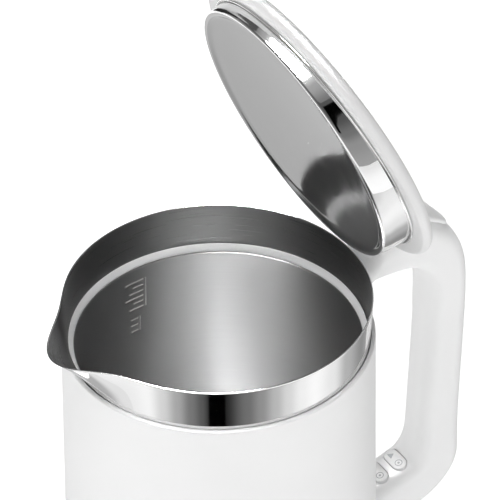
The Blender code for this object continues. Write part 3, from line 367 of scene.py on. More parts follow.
def from_rings(name, rings, closed=False, place=None, second=()):
    """A skin through rings of points. It is closed end to end, or has a cap on each end.

    Faces that start at a ring in second take the piece's second material.
    """
    mesh = bpy.data.meshes.new(name)
    work = bmesh.new()
    loops = [[work.verts.new(point) for point in ring] for ring in rings]
    pairs = list(zip(loops, loops[1:] + (loops[:1] if closed else [])))
    for number, (first, second_loop) in enumerate(pairs):
        count = max(len(first), len(second_loop))
        for step in range(count):
            after = (step + 1) % count
            corners = [first[step % len(first)], first[after % len(first)]]
            corners += [second_loop[after % len(second_loop)],
                        second_loop[step % len(second_loop)]]
            corners = list(dict.fromkeys(corners))
            if len(corners) > 2:
                work.faces.new(corners).material_index = int(number in second)
    if not closed:
        for loop in (loops[0], loops[-1]):
            if len(loop) > 2:
                work.faces.new(loop)
    bmesh.ops.recalc_face_normals(work, faces=work.faces)
    if place:
        work.transform(place)
    work.to_mesh(mesh)
    work.free()
    made = bpy.data.objects.new(name, mesh)
    bpy.context.scene.collection.objects.link(made)
    return made


def turned(name, profile, segments=ROUND, place=None, second=()):
    """A solid turned about Z from a closed outline of (radius, height) points."""
    rings = []
    for radius, height in profile:
        angles = turns(segments) if radius > 1e-7 else [0.0]
        rings.append([Vector((radius * cos(a), radius * sin(a), height)) for a in angles])
    return from_rings(name, rings, True, place, second)


def rod(name, start, end, radius, segments=48, place=None):
    turn = (Vector(end) - Vector(start)).to_track_quat("Z", "Y")
    ring = [turn @ Vector((radius * cos(a), radius * sin(a), 0)) for a in turns(segments)]
    ends = [[Vector(middle) + point for point in ring] for middle in (start, end)]
    return from_rings(name, ends, place=place)


def block(name, low, high):
    corners = [(low[0], low[1]), (high[0], low[1]), (high[0], high[1]), (low[0], high[1])]
    return from_rings(name, [[Vector((x, y, z)) for x, y in corners] for z in (low[2], high[2])])


def shape_with(piece, *steps):
    """Applies Boolean steps of (operation, tool) to the piece and removes the tools."""
    for operation, tool in steps:
        step = piece.modifiers.new(tool.name, "BOOLEAN")
        step.operation = operation
        step.object = tool
    graph = bpy.context.evaluated_depsgraph_get()
    shaped = bpy.data.meshes.new_from_object(piece.evaluated_get(graph))
    piece.modifiers.clear()
    piece.data = shaped
    for _, tool in steps:
        bpy.data.objects.remove(tool, do_unlink=True)


def dress(piece, body, slot, finishes, *nodes, smooth=40):
    """Gives the piece its finishes and shading and hangs it on its body in place of the nodes.

    The list of materials is not cleared first, because that would reset the faces' indices.
    """
    for finish in finishes:
        piece.data.materials.append(finish)
    piece.data.shade_smooth()
    piece.data.set_sharp_from_angle(angle=radians(smooth))
    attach(piece, body)
    if nodes:
        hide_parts(*nodes)
    return piece


def body_r(z):
    """Outer radius of the white body at a height."""
    share = (COLLAR_FOOT_Z - z) / (COLLAR_FOOT_Z - KETTLE_FOOT_Z)
    return RIM_R + SHOULDER + BODY_FLARE * share


# ------------------------------------------------------------------ body

def make_body(looks):
    top, foot = COLLAR_FOOT_Z, KETTLE_FOOT_Z
    mouth = RIM_R - COLLAR_DRAFT + GAP
    ledge = FLANGE_Z - STEEL - GAP
    outer = arc((body_r(top) - EDGE_ROUND, top - EDGE_ROUND), EDGE_ROUND, 90, 0, 8)
    outer += arc((body_r(foot) - EDGE_ROUND, foot + EDGE_ROUND), EDGE_ROUND, 0, -90, 8)
    inside = [(body_r(foot) - WALL, foot), (body_r(ledge - 3 * MM) - WALL, ledge - 3 * MM)]
    inside += [(mouth - 1.5 * MM, ledge - 1.5 * MM), (mouth - 1.5 * MM, ledge), (mouth, ledge)]
    inside += [(mouth, top)]
    shell = turned("body_shell_fine", outer + inside)
    dress(shell, "kettle", "white_plastic", [looks["white_plastic"]], "outer_shell")


def spout_reach(angle, z):
    share = max(0.0, (z - COLLAR_FOOT_Z) / COLLAR_SHOWN)
    return SPOUT_REACH * exp(-((angle / SPOUT_WIDTH) ** 2)) * share ** SPOUT_POWER


def make_collar(looks):
    """The drawn ring: its section runs down the outside, under, and up the brushed inside."""
    levels = 14
    shares = [step / levels for step in range(levels + 1)]
    bead = [(0.5 + 0.5 * sin(radians(a)), 0.5 * cos(radians(a))) for a in (-60, -30, 0, 30, 60)]
    section = [(side, 0.0, lift) for side, lift in bead]
    section += [(1.0, share, 0.0) for share in shares]
    section += [(1.0, None, 0.0), (0.0, None, 0.0)]
    section += [(0.0, share, 0.0) for share in reversed(shares)]
    rings = []
    for side, share, lift in section:
        ring = []
        for angle in turns(2 * ROUND):
            off = angle - pi
            drop = COLLAR_SHOWN * (1.0 if share is None else share)
            dip = SPOUT_DIP * exp(-((off / SPOUT_WIDTH) ** 2)) * (1 - drop / COLLAR_SHOWN)
            high = RIM_Z - drop
            radius = RIM_R - COLLAR_DRAFT * drop / COLLAR_SHOWN + spout_reach(off, high)
            radius -= STEEL * (1 - side)
            z = high - dip + lift * STEEL * 0.5
            if share is None:
                z -= COLLAR_TUCK
            ring.append(Vector((radius * cos(angle), radius * sin(angle), z)))
        rings.append(ring)
    # the inside faces take the darker copy of the collar's steel: painted shade in the mouth
    inside = range(len(bead) + levels + 2, len(rings))
    collar = from_rings("collar_fine", rings, True, second=inside)
    dress(collar, "kettle", "collar_steel", [looks["collar_steel"], looks["collar_inside_painted_shade"]],
          "steel_collar", smooth=60)


def make_seal(looks):
    bore = RIM_R - COLLAR_DRAFT - STEEL - GAP
    base = FLANGE_Z + GAP
    slope_in = POT_TOP_R + 0.15 * MM
    seal = [(slope_in, base), (bore, base), (bore, base + SEAL_RISE - 0.2 * MM)]
    seal += arc((bore - 0.25 * MM, base + SEAL_RISE - 0.25 * MM), 0.25 * MM, 0, 130, 6)
    seal += [(slope_in + 0.25 * MM, base + 0.95 * MM), (slope_in, base + 0.6 * MM)]
    dress(turned("seal_fine", seal), "kettle", "seal_silicone", [looks["seal_silicone"]],
          "collar_seal")


def pot_wall_r(z):
    """Inner radius of the pot's wall at a height."""
    low = POT_FLOOR_Z + POT_CORNER
    high = FLANGE_Z - 0.8 * MM
    return POT_FLOOR_R + (POT_TOP_R - POT_FLOOR_R) * (z - low) / (high - low)


def make_pot(looks):
    lip = FLANGE_Z - STEEL
    rim_out = RIM_R - COLLAR_DRAFT - GAP
    wall_z = POT_FLOOR_Z + POT_CORNER
    profile = [(rim_out, FLANGE_Z)]
    profile += arc((POT_TOP_R + 0.8 * MM, FLANGE_Z - 0.8 * MM), 0.8 * MM, 90, 180, 6)
    profile += [(pot_wall_r(z * MM), z * MM) for z in range(165, 60, -15)]
    profile += arc((POT_FLOOR_R - POT_CORNER, wall_z), POT_CORNER, 0, -90, 12)
    profile += [(30 * MM, POT_FLOOR_Z), (0, POT_FLOOR_Z), (0, POT_FLOOR_Z - STEEL)]
    profile += arc((POT_FLOOR_R - POT_CORNER, wall_z), POT_CORNER + STEEL, -90, 0, 12)
    profile += [(POT_TOP_R + STEEL, lip - 0.8 * MM), (POT_TOP_R + STEEL + 0.6 * MM, lip)]
    profile += [(rim_out, lip)]
    dress(turned("pot_fine", profile), "kettle", "pot_steel", [looks["pot_steel"]], "inner_pot")


def make_level_marks(looks):
    """Raised strokes of the fill scale on the pot's wall: a stem, ticks and short bars."""
    stem_azimuth = 92.0
    top_z = 173.0
    half = 0.4
    strokes = [((0.0, top_z), (0.0, top_z - 16.0)), ((3.0, top_z - 21.0), (3.0, top_z - 29.0))]
    for number in range(6):
        long = (9.0, 5.0, 7.0)[number % 3]
        strokes.append(((1.2, top_z - 0.6 - 3 * number), (1.2 + long, top_z - 0.6 - 3 * number)))
    for number in range(3):
        drop = 21.6 + 3.4 * number
        strokes.append(((4.0, top_z - drop), (7.5, top_z - drop)))
    pieces = []
    for number, ((turn_a, z_a), (turn_b, z_b)) in enumerate(strokes):
        upright = turn_a == turn_b
        rings = []
        for share in (0.0, 0.25, 0.5, 0.75, 1.0):
            turn = turn_a + (turn_b - turn_a) * share
            z = z_a + (z_b - z_a) * share
            ring = []
            for across, lift in ((-1, -0.05), (-0.5, 0.16), (0.5, 0.16), (1, -0.05)):
                azimuth = radians(stem_azimuth + turn)
                height = z
                if upright:
                    azimuth += across * half * MM / POT_TOP_R
                else:
                    height = z + across * half
                radius = pot_wall_r(height * MM) - lift * MM
                ring.append(Vector((radius * cos(azimuth), radius * sin(azimuth), height * MM)))
            rings.append(ring)
        pieces.append(from_rings(f"stroke_{number}", rings))
    marks = joined("level_marks", pieces)
    dress(marks, "kettle", "pot_steel", [looks["mark_steel"]], smooth=20)


def joined(name, pieces):
    """One object of the meshes of several, which are removed."""
    work = bmesh.new()
    for piece in pieces:
        work.from_mesh(piece.data)
        bpy.data.objects.remove(piece, do_unlink=True)
    mesh = bpy.data.meshes.new(name)
    work.to_mesh(mesh)
    work.free()
    made = bpy.data.objects.new(name, mesh)
    bpy.context.scene.collection.objects.link(made)
    return made


# ------------------------------------------------------------------ lid

def make_lid_cover(looks):
    middle = COVER_LOW + (COVER_HIGH - COVER_LOW) * 0.42
    rise = COVER_HIGH - middle
    top = COVER_HIGH + COVER_CROWN
    profile = [(0, top)]
    for share in (0.15, 0.3, 0.45, 0.6, 0.75, 0.88):
        profile.append((COVER_R * share, COVER_HIGH + COVER_CROWN * (1 - share ** 2.6)))
    profile += arc((COVER_R - rise, middle), rise, 88, 0, 12)
    profile += [(COVER_R - 0.35 * MM, COVER_LOW + 1.1 * MM),
                (COVER_R - 1.1 * MM, COVER_LOW + 0.25 * MM)]
    profile += [(COVER_R - 1.7 * MM, COVER_LOW), (COVER_BORE_R + 0.3 * MM, COVER_LOW)]
    profile += [(COVER_BORE_R, COVER_LOW + 0.3 * MM), (COVER_BORE_R, COVER_HIGH - COVER_SKIN)]
    profile += [(0, top - COVER_SKIN)]
    cover = turned("lid_cover_fine", profile, place=OPENED)
    # the cover takes a greyer copy of the white plastic, which paints shade on it
    dress(cover, "lid", "white_plastic", [looks["painted_shade_cover_plastic"]], "lid_cover")


def make_lid_pan(looks):
    """A drawn steel cup whose floor is tilted: it is deeper at the hinge than at the spout."""
    top = COVER_LOW - GAP
    foot_r = BAND_TOP_R - BAND_DRAFT
    tilt = (BAND_BACK - BAND_FRONT) / (2 * foot_r)
    mean = (BAND_BACK + BAND_FRONT) / 2
    edge = 1.2 * MM
    rings = [(BAND_TOP_R - BAND_DRAFT * share, share, 0.0) for share in (0.0, 0.25, 0.5, 0.75)]
    rings += [
        (foot_r - edge + edge * cos(radians(a)), 1.0, edge - edge * sin(radians(a)))
        for a in range(0, 91, 15)
    ]
    polished = len(rings)
    dish = [(2.4, 0.12), (3.2, 0.5), (4.2, 0.78), (5.6, 0.93), (7.5, 1.0), (12, 1.25), (20, 1.64),
            (30, 2.03), (42, 2.34), (52, 2.47)]
    rings += [(foot_r - inset * MM, 1.0, PAN_DISH * deep) for inset, deep in dish]
    rings += [(0.0, 1.0, PAN_DISH * 2.5), (0.0, 1.0, PAN_DISH * 2.5 + STEEL)]
    rings += [(foot_r - 30 * MM, 1.0, PAN_DISH * 2.03 + STEEL)]
    rings += [(foot_r - 7.5 * MM, 1.0, PAN_DISH + STEEL),
              (foot_r - 2.2 * MM, 1.0, 0.4 * MM + STEEL)]
    rings += [(foot_r - STEEL, 1.0, 1.4 * MM + STEEL), (BAND_TOP_R - STEEL, 0.0, 0.0)]
    loops = []
    for radius, share, lift in rings:
        loop = []
        for angle in turns(ROUND) if radius else [0.0]:
            x = radius * cos(angle)
            height = top - (mean + tilt * x) * share + lift
            loop.append(Vector((x - PAN_SHIFT * share, radius * sin(angle), height)))
        loops.append(loop)
    pan = from_rings("lid_pan_fine", loops, True, OPENED, second=range(polished))
    dress(pan, "lid", "lid_steel", [looks["lid_steel"], looks["band_steel"]], "lid_pan", smooth=60)

    trim_in = BAND_TOP_R + GAP
    trim_top = COVER_LOW - GAP
    low = trim_top - TRIM_HIGH
    trim = arc((trim_in + TRIM_WIDTH / 2, low + TRIM_WIDTH / 2), TRIM_WIDTH / 2, 180, 360, 10)
    trim += [(trim_in + TRIM_WIDTH, trim_top), (trim_in, trim_top)]
    ring = turned("lid_trim_fine", trim, place=OPENED)
    dress(ring, "lid", "trim_steel", [looks["trim_steel"]], "lid_trim_ring")


def make_lever(looks):
    """The thumb lever, its tongue between the handle's cheeks and the barrel round the pin."""
    stations = [
        ((5.6, 4.6), (5.6, 13.8), 10.7), ((9.0, 4.4), (8.0, 14.6), 10.7),
        ((15.5, 5.6), (14.0, 13.9), 10.7), ((20.4, 6.8), (18.2, 12.9), 10.7),
        ((23.4, 6.8), (21.8, 11.6), 10.7), ((26.4, 5.4), (25.2, 9.9), 10.7),
        ((29.6, 3.9), (28.6, 7.9), 10.6), ((31.8, 2.4), (31.2, 6.4), 10.3),
        ((33.6, 1.2), (33.2, 4.9), 9.4), ((35.2, 0.4), (35.1, 3.1), 7.8),
        ((36.2, 0.2), (36.3, 1.9), 5.6), ((36.7, 0.3), (36.8, 1.1), 3.0),
    ]
    placed = [
        (HINGE + Vector((low[0], 0, low[1])) * MM, HINGE + Vector((high[0], 0, high[1])) * MM,
         half * MM)
        for low, high, half in stations
    ]
    rings = [crowned(low, high, half) for low, high, half in smooth_stations(placed)]
    lever = from_rings("lid_lever_fine", rings)
    hub = [(point[0] / MM, point[1] / MM) for point in arc((0, 0), BARREL_R, 180, 360, 20)]
    outline = hub + [(6.6, 4.8), (7.0, 15.0), (4.6, 14.4), (1.8, 11.4), (-1.6, 8.0), (-3.3, 5.4)]
    sides = [
        [HINGE + Vector((x * MM, y, z * MM)) for x, z in outline]
        for y in (-TONGUE_HALF, TONGUE_HALF)
    ]
    tongue = from_rings("tongue", sides)
    bore = rod("bore", HINGE - ACROSS * 2 * HANDLE_HALF, HINGE + ACROSS * 2 * HANDLE_HALF,
               PIN_R + GAP)
    room = rod("spring_room", HINGE - ACROSS * SPRING_HALF, HINGE + ACROSS * SPRING_HALF,
               BARREL_R + 2 * GAP)
    low, high = COVER_LOW - GAP, COVER_HIGH + COVER_CROWN + GAP
    cover = turned("cover_room",
                   [(0, low), (COVER_R + GAP, low), (COVER_R + GAP, high), (0, high)],
                   place=OPENED)
    shape_with(lever, ("UNION", tongue), ("DIFFERENCE", bore), ("DIFFERENCE", room),
               ("DIFFERENCE", cover))
    dress(lever, "lid", "white_plastic", [looks["white_plastic"]], "lid_lever", smooth=35)


# ------------------------------------------------------------------ handle

def section(inner, outer, half, rounding):
    """A rounded rectangle from inner to outer, and half as far to each side in Y."""
    middle = (inner + outer) / 2
    up = (outer - inner).normalized()
    high = (outer - inner).length / 2
    rounding = min(rounding, high - 0.05 * MM, half - 0.05 * MM)
    ring = []
    for side_u, side_y, start in ((1, 1, 0), (1, -1, 90), (-1, -1, 180), (-1, 1, 270)):
        for step in range(CORNER):
            angle = radians(start + 90 * step / (CORNER - 1))
            y = side_y * (half - rounding) + rounding * cos(angle)
            u = side_u * (high - rounding) + rounding * sin(angle)
            ring.append(middle + up * u + Vector((0, y, 0)))
    return ring


def crowned(inner, outer, half):
    """A section like a loaf's: nearly square below, and domed above."""
    middle = (inner + outer) / 2
    up = (outer - inner).normalized()
    high = (outer - inner).length / 2
    ring = []
    for angle in turns(4 * CORNER):
        power = 0.8 if sin(angle) > 0 else 0.35
        side = abs(cos(angle)) ** power * (1 if cos(angle) > 0 else -1)
        lift = abs(sin(angle)) ** power * (1 if sin(angle) > 0 else -1)
        ring.append(middle + ACROSS * half * side + up * high * lift)
    return ring


def smooth_stations(stations):
    """The stations with more laid between them on a smooth curve through each corner."""
    def blend(before, start, end, after, share):
        return (
            start * (2 - 5 * share ** 2 + 3 * share ** 3) / 2
            + end * (share + 4 * share ** 2 - 3 * share ** 3) / 2
            + before * (-share + 2 * share ** 2 - share ** 3) / 2
            + after * (share ** 3 - share ** 2) / 2
        )
    last = len(stations) - 1
    found = []
    for number in range(last):
        around = [stations[max(0, min(last, number + off))] for off in (-1, 0, 1, 2)]
        for step in range(BETWEEN):
            share = step / BETWEEN
            found.append(tuple(blend(*values, share) for values in zip(*around)))
    found.append(stations[-1])
    return found


def handle_stations():
    """(inner point, outer point, half width) of each section, as the frame's handle has them."""
    root = [((2.6, -27.0), (2.6, -6.8), 1.6), ((4.6, -22.2), (4.8, -6.0), 0.4)]
    arch = [
        ((-3.3, -18.4), (-3.1, -2.4), 0.0), ((0.7, -17.8), (0.2, 2.0), 0.0),
        ((5.2, -17.8), (4.2, 3.0), 0.0), ((10.7, -18.0), (10.7, 3.8), 0.0),
        ((16.2, -18.6), (17.2, 5.4), 0.0), ((20.7, -19.8), (22.5, 6.3), 0.0),
        ((24.3, -22.0), (28.2, 3.8), 0.0), ((27.1, -25.4), (33.7, 0.6), 0.0),
        ((28.7, -29.6), (39.3, -3.6), 0.0), ((29.5, -35.1), (44.5, -11.2), 0.0),
        ((29.8, -42.1), (48.1, -20.0), 0.0), ((29.9, -50.6), (50.1, -32.6), 0.0),
        ((30.0, -61.6), (51.6, -54.6), 0.0),
    ]
    lower = [
        ((34.0, 80.0), (56.8, 79.0), 0.0), ((34.0, 66.0), (57.5, 60.0), 0.0),
        ((33.6, 58.0), (58.4, 48.0), 0.0), ((31.6, 52.0), (57.6, 39.6), 0.0),
        ((28.2, 48.4), (54.0, 32.4), 0.0), ((22.5, 46.4), (47.0, 25.4), 0.0),
        ((15.2, 44.3), (36.5, 19.4), 0.0), ((7.6, 42.2), (23.0, 15.2), 0.0),
        ((3.4, 41.8), (9.0, 12.0), 0.5), ((0.5, 44.4), (0.7, 8.6), 2.2),
    ]
    rim = Vector((RIM_R, 0, RIM_Z))
    foot = Vector((body_r(KETTLE_FOOT_Z + 29 * MM), 0, KETTLE_FOOT_Z))
    placed = []
    for anchor, rows in ((rim, root), (HINGE, arch), (foot, lower)):
        for inner, outer, extra in rows:
            placed.append((
                anchor + Vector((inner[0], 0, inner[1])) * MM,
                anchor + Vector((outer[0], 0, outer[1])) * MM,
                HANDLE_HALF + extra * MM,
            ))
    return placed


def saddled(ring):
    """The ring pushed along X onto the body's surface, just clear of it."""
    return [
        Vector((sqrt((body_r(min(p.z, COLLAR_FOOT_Z)) + GAP) ** 2 - p.y ** 2), p.y, p.z))
        for p in ring
    ]


def root_rings(ring):
    middle = sum(ring, Vector()) / len(ring)
    shares = (0.03, 0.3, 0.6, 0.85, 1.0)
    return [saddled([middle + (p - middle) * share for p in ring]) for share in shares]


def strip_section(inner, outer, deep, half):
    up = (outer - inner).normalized()
    low, high = outer - up * deep, outer + up * 6 * MM
    side = ACROSS * half
    return [low + side, high + side, high - side, low - side]


def pill(centre, half_long, half_wide, steps=20):
    """A pill outline across Y on the button face."""
    ring = []
    for side, start in ((1, 0), (-1, 180)):
        for step in range(steps + 1):
            angle = radians(start + 180 * step / steps)
            y = side * (half_long - half_wide) + half_wide * sin(angle)
            ring.append(centre + ALONG * half_wide * cos(angle) + ACROSS * y)
    return ring


def button_face(number):
    """The middle of a button's place on the lower arm's slope."""
    start_x = body_r(KETTLE_FOOT_Z + 29 * MM)
    start = Vector((start_x, 0, KETTLE_FOOT_Z + BUTTON_RISE))
    return start + ALONG * (BUTTON_FROM_ROOT + number * BUTTON_PITCH)


def make_handle(looks):
    stations = handle_stations()
    fine = smooth_stations(stations)
    rings = [section(inner, outer, half, HANDLE_ROUND) for inner, outer, half in fine]
    rings[:1] = root_rings(rings[0])
    rings[-1:] = reversed(root_rings(rings[-1]))
    shell = from_rings("handle_fine", rings)
    slot_half = TONGUE_HALF + GAP
    slot = block("hinge_slot", (RIM_R - 2 * MM, -slot_half, HINGE.z - 4 * MM),
                 (HINGE.x + BARREL_R + 2.6 * MM, slot_half, HINGE.z + 14 * MM))
    bore = rod("pin_bore", HINGE - ACROSS * (HANDLE_HALF - 1.1 * MM),
               HINGE + ACROSS * (HANDLE_HALF + 2 * MM), PIN_R + GAP)
    first = 11 * BETWEEN
    hollow = fine[first:-2 * BETWEEN]
    channel = from_rings("channel", [
        strip_section(i, o, (o - i).length - HANDLE_WALL, BACK_HALF + GAP) for i, o, _ in hollow
    ])
    steps = [("DIFFERENCE", slot), ("DIFFERENCE", bore), ("DIFFERENCE", channel)]
    for number in range(2):
        face = button_face(number)
        hole = [pill(face + UNDER * deep, BUTTON_HALF_LONG + GAP, BUTTON_HALF_WIDE + GAP)
                for deep in (-6 * MM, BUTTON_SEAT)]
        steps.append(("DIFFERENCE", from_rings(f"button_hole_{number}", hole)))
    shape_with(shell, *steps)
    dress(shell, "kettle", "white_plastic", [looks["white_plastic"]], "handle_shell", smooth=35)

    back = from_rings("handle_back_fine", rings)
    ends = [strip_section(i, o, BACK_THICK, BACK_HALF) for i, o, _ in hollow]
    ends[0] = [p + (ends[1][0] - ends[0][0]).normalized() * GAP for p in ends[0]]
    ends[-1] = [p + (ends[-2][0] - ends[-1][0]).normalized() * GAP for p in ends[-1]]
    shape_with(back, ("INTERSECT", from_rings("strip", ends)))
    dress(back, "kettle", "white_plastic", [looks["white_plastic"]], "handle_back_cover",
          smooth=35)


def make_buttons(looks):
    for number, name in enumerate(("warm_button", "boil_button")):
        face = button_face(number)
        edge = 0.45 * MM
        levels = [
            (-BUTTON_PROUD + edge * (1 - sin(radians(a))), edge * (1 - cos(radians(a))))
            for a in (90, 70, 50, 30, 0)
        ]
        levels.append((BUTTON_DEEP, 0.0))
        rings = [
            pill(face + UNDER * deep, BUTTON_HALF_LONG - trim, BUTTON_HALF_WIDE - trim)
            for deep, trim in levels
        ]
        button = from_rings(f"{name}_fine", rings)
        dress(button, name, "button_plastic", [looks["button_plastic"]], name)
        make_icon(name, face, looks)


def make_icon(name, face, looks):
    """The thin printed signs on a button: a ring, with a drop for warm or a triangle for boil."""
    top = face - UNDER * (BUTTON_PROUD + 0.03 * MM)
    low = face - UNDER * (BUTTON_PROUD - 0.1 * MM)

    def plate(label, outline):
        return from_rings(label, [
            [base + ALONG * x * MM + ACROSS * y * MM for x, y in outline] for base in (low, top)
        ])
    ring_outer = [(1.9 * cos(a), -3.1 + 1.9 * sin(a)) for a in turns(40)]
    ring_inner = [(1.5 * cos(a), -3.1 + 1.5 * sin(a)) for a in turns(40)]
    ring = from_rings("ring", [
        [base + ALONG * x * MM + ACROSS * y * MM for x, y in outline]
        for base, outline in ((low, ring_outer), (top, ring_outer),
                              (top, ring_inner), (low, ring_inner))
    ], closed=True)
    parts = [ring, plate("dot", [(0.6 * cos(a), -3.1 + 0.6 * sin(a)) for a in turns(24)])]
    if name == "boil_button":
        parts.append(plate("triangle", [(1.5, 3.1), (-1.3, 4.9), (-1.3, 1.3)]))
    else:
        drop = [(-0.5 + 1.2 * cos(a), 3.1 + 1.2 * sin(a))
                for a in (radians(40 + 20 * n) for n in range(15))]
        parts.append(plate("drop", [(1.7, 3.1)] + drop))
    icon = joined(f"{name}_icon", parts)
    dress(icon, name, "button_plastic", [looks["icon_grey"]], smooth=30)


# ------------------------------------------------------------------ base and the rest

def make_base(looks):
    edge = BASE_TOP_Z - BASE_EDGE
    inner_r = BASE_R - BASE_WALL
    inner_z = BASE_TOP_Z - BASE_WALL
    shell = arc((BASE_R - 0.5 * MM, BASE_PLATE_Z + 0.5 * MM), 0.5 * MM, -90, 0, 5)
    shell += arc((BASE_R - BASE_EDGE, edge), BASE_EDGE, 0, 90, 12)
    fillet = BASE_WALL
    shell += arc((BOSS_R + fillet, BASE_TOP_Z + fillet), fillet, 270, 180, 8)
    shell += arc((BOSS_R - 1 * MM, BOSS_TOP_Z - 1 * MM), 1 * MM, 0, 90, 8)
    shell += [(BOSS_BORE_R, BOSS_TOP_Z), (BOSS_BORE_R, inner_z)]
    chamfer = BASE_EDGE - BASE_WALL
    shell += [(inner_r - chamfer, inner_z), (inner_r, inner_z - chamfer), (inner_r, BASE_PLATE_Z)]
    top = turned("base_top_fine", shell)
    inlet = rod("inlet", (inner_r - 8 * MM, 0, INLET_Z), (BASE_R + 8 * MM, 0, INLET_Z), INLET_R)
    shape_with(top, ("DIFFERENCE", inlet))
    dress(top, "base", "base_plastic", [looks["base_plastic"]], "base_top_shell")


def dress_frame_nodes(looks):
    """Each of the frame's own pieces gets the finish of its slot."""
    for part in frame["record"]["subparts"]:
        node = frame["nodes"][part["node"]]
        node.data.materials.clear()
        node.data.materials.append(looks[part["material_slot"]])


# ------------------------------------------------------------------ studio

def glossy_only(card):
    card.visible_camera = False
    card.visible_diffuse = False
    card.visible_shadow = False
    card.visible_transmission = False


def emission_material(name, strength=1.0):
    made = bpy.data.materials.new(name)
    made.use_nodes = True
    tree = made.node_tree
    tree.nodes.clear()
    glow = tree.nodes.new("ShaderNodeEmission")
    glow.inputs["Strength"].default_value = strength
    out = tree.nodes.new("ShaderNodeOutputMaterial")
    tree.links.new(glow.outputs[0], out.inputs["Surface"])
    return made, tree, glow


def ramp_stops(ramp, stops):
    """Sets grey stops of (position, brightness) on a colour ramp."""
    for number, (position, grey) in enumerate(stops):
        if number < 2:
            element = ramp.elements[number]
            element.position = position
        else:
            element = ramp.elements.new(position)
        element.color = (grey, grey, grey, 1)
    ramp.interpolation = "EASE"


def make_floor():
    size = 12.0
    corners = [Vector((x * size, y * size, 0)) for x, y in ((-1, -1), (1, -1), (1, 1), (-1, 1))]
    mesh = bpy.data.meshes.new("studio_floor")
    mesh.from_pydata(corners, [], [(0, 1, 2, 3)])
    floor = bpy.data.objects.new("studio_floor", mesh)
    bpy.context.scene.collection.objects.link(floor)
    finish = Finish("floor_paper", (0.8, 0.8, 0.8), 0.9, Specular_IOR_Level=0.1)
    finish.vary_colour(finish.noise(4, 2), 0.004)
    finish.shader.inputs["Emission Color"].default_value = (1, 1, 1, 1)
    # the far floor is beyond the lamps, so it glows more to stay nearly as white
    place = finish.tree.nodes.new("ShaderNodeTexCoord")
    length = finish.tree.nodes.new("ShaderNodeVectorMath")
    length.operation = "LENGTH"
    finish.tree.links.new(place.outputs["Object"], length.inputs[0])
    far = finish.tree.nodes.new("ShaderNodeMapRange")
    far.inputs["From Min"].default_value = FLOOR_CHANGE[0]
    far.inputs["From Max"].default_value = FLOOR_CHANGE[1]
    far.inputs["To Min"].default_value = FLOOR_GLOW
    far.inputs["To Max"].default_value = FAR_FLOOR_GLOW
    finish.tree.links.new(length.outputs["Value"], far.inputs["Value"])
    finish.tree.links.new(far.outputs["Result"], finish.shader.inputs["Emission Strength"])
    mesh.materials.append(finish.made)


def make_floor_card():
    """A ring on the floor, seen only in reflections: the soft boxes and flags round the mouth.

    Its brightness goes by its own azimuth, in degrees from +X.
    """
    inner, outer, height = 0.12, 0.55, 1.0 * MM
    rings = [[Vector((r * cos(a), r * sin(a), height)) for a in turns(96)] for r in (inner, outer)]
    mesh = bpy.data.meshes.new("floor_card")
    work = bmesh.new()
    loops = [[work.verts.new(point) for point in ring] for ring in rings]
    for step in range(96):
        after = (step + 1) % 96
        work.faces.new((loops[0][step], loops[1][step], loops[1][after], loops[0][after]))
    work.to_mesh(mesh)
    work.free()
    card = bpy.data.objects.new("floor_card", mesh)
    bpy.context.scene.collection.objects.link(card)
    made, tree, glow = emission_material("floor_card_glow")
    place = tree.nodes.new("ShaderNodeTexCoord")
    parts = tree.nodes.new("ShaderNodeSeparateXYZ")
    tree.links.new(place.outputs["Object"], parts.inputs[0])
    angle = tree.nodes.new("ShaderNodeMath")
    angle.operation = "ARCTAN2"
    tree.links.new(parts.outputs["Y"], angle.inputs[0])
    tree.links.new(parts.outputs["X"], angle.inputs[1])
    share = tree.nodes.new("ShaderNodeMapRange")
    share.inputs["From Min"].default_value = -pi
    share.inputs["From Max"].default_value = pi
    tree.links.new(angle.outputs[0], share.inputs["Value"])
    ramp = tree.nodes.new("ShaderNodeValToRGB")
    azimuths = [
        (-180, 1.0), (-168, 1.1), (-158, 0.78), (-148, 0.46), (-139, 0.22), (-131, 0.11),
        (-127.5, 0.05), (-127, 0.0), (-116.5, 0.0), (-116, 0.025), (-101, 0.19), (-92, 0.33),
        (-82, 0.57), (-73, 0.8), (-63, 1.03), (-52, 1.15), (-35, 0.95), (-20, 0.52), (2, 0.3),
        (24, 0.58), (60, 0.66), (95, 0.6), (128, 0.5), (158, 0.5), (175, 0.9),
    ]
    ramp_stops(ramp.color_ramp, [((a + 180) / 360, grey) for a, grey in azimuths])
    tree.links.new(share.outputs["Result"], ramp.inputs["Fac"])
    tree.links.new(ramp.outputs["Color"], glow.inputs["Color"])
    mesh.materials.append(made)
    glossy_only(card)


def make_tent():
    """A dome seen only in reflections: a bright ceiling over a greyer wall."""
    radius = 3.0
    levels = [radians(90 * step / 24) for step in range(25)]
    rings = []
    for level in levels:
        angles = turns(64) if level < radians(89.9) else [0.0]
        rings.append([
            Vector((radius * cos(level) * cos(a), radius * cos(level) * sin(a),
                    radius * sin(level)))
            for a in angles
        ])
    dome = from_rings("reflection_tent", rings)
    made, tree, glow = emission_material("tent_glow")
    place = tree.nodes.new("ShaderNodeTexCoord")
    parts = tree.nodes.new("ShaderNodeSeparateXYZ")
    tree.links.new(place.outputs["Object"], parts.inputs[0])
    share = tree.nodes.new("ShaderNodeMapRange")
    share.inputs["From Max"].default_value = radius
    tree.links.new(parts.outputs["Z"], share.inputs["Value"])
    ramp = tree.nodes.new("ShaderNodeValToRGB")
    ramp_stops(ramp.color_ramp, [(0.0, 0.42), (0.3, 0.34), (0.45, 0.2), (0.62, 0.1), (0.95, 0.1)])
    tree.links.new(share.outputs["Result"], ramp.inputs["Fac"])
    tree.links.new(ramp.outputs["Color"], glow.inputs["Color"])
    dome.data.materials.append(made)
    glossy_only(dome)


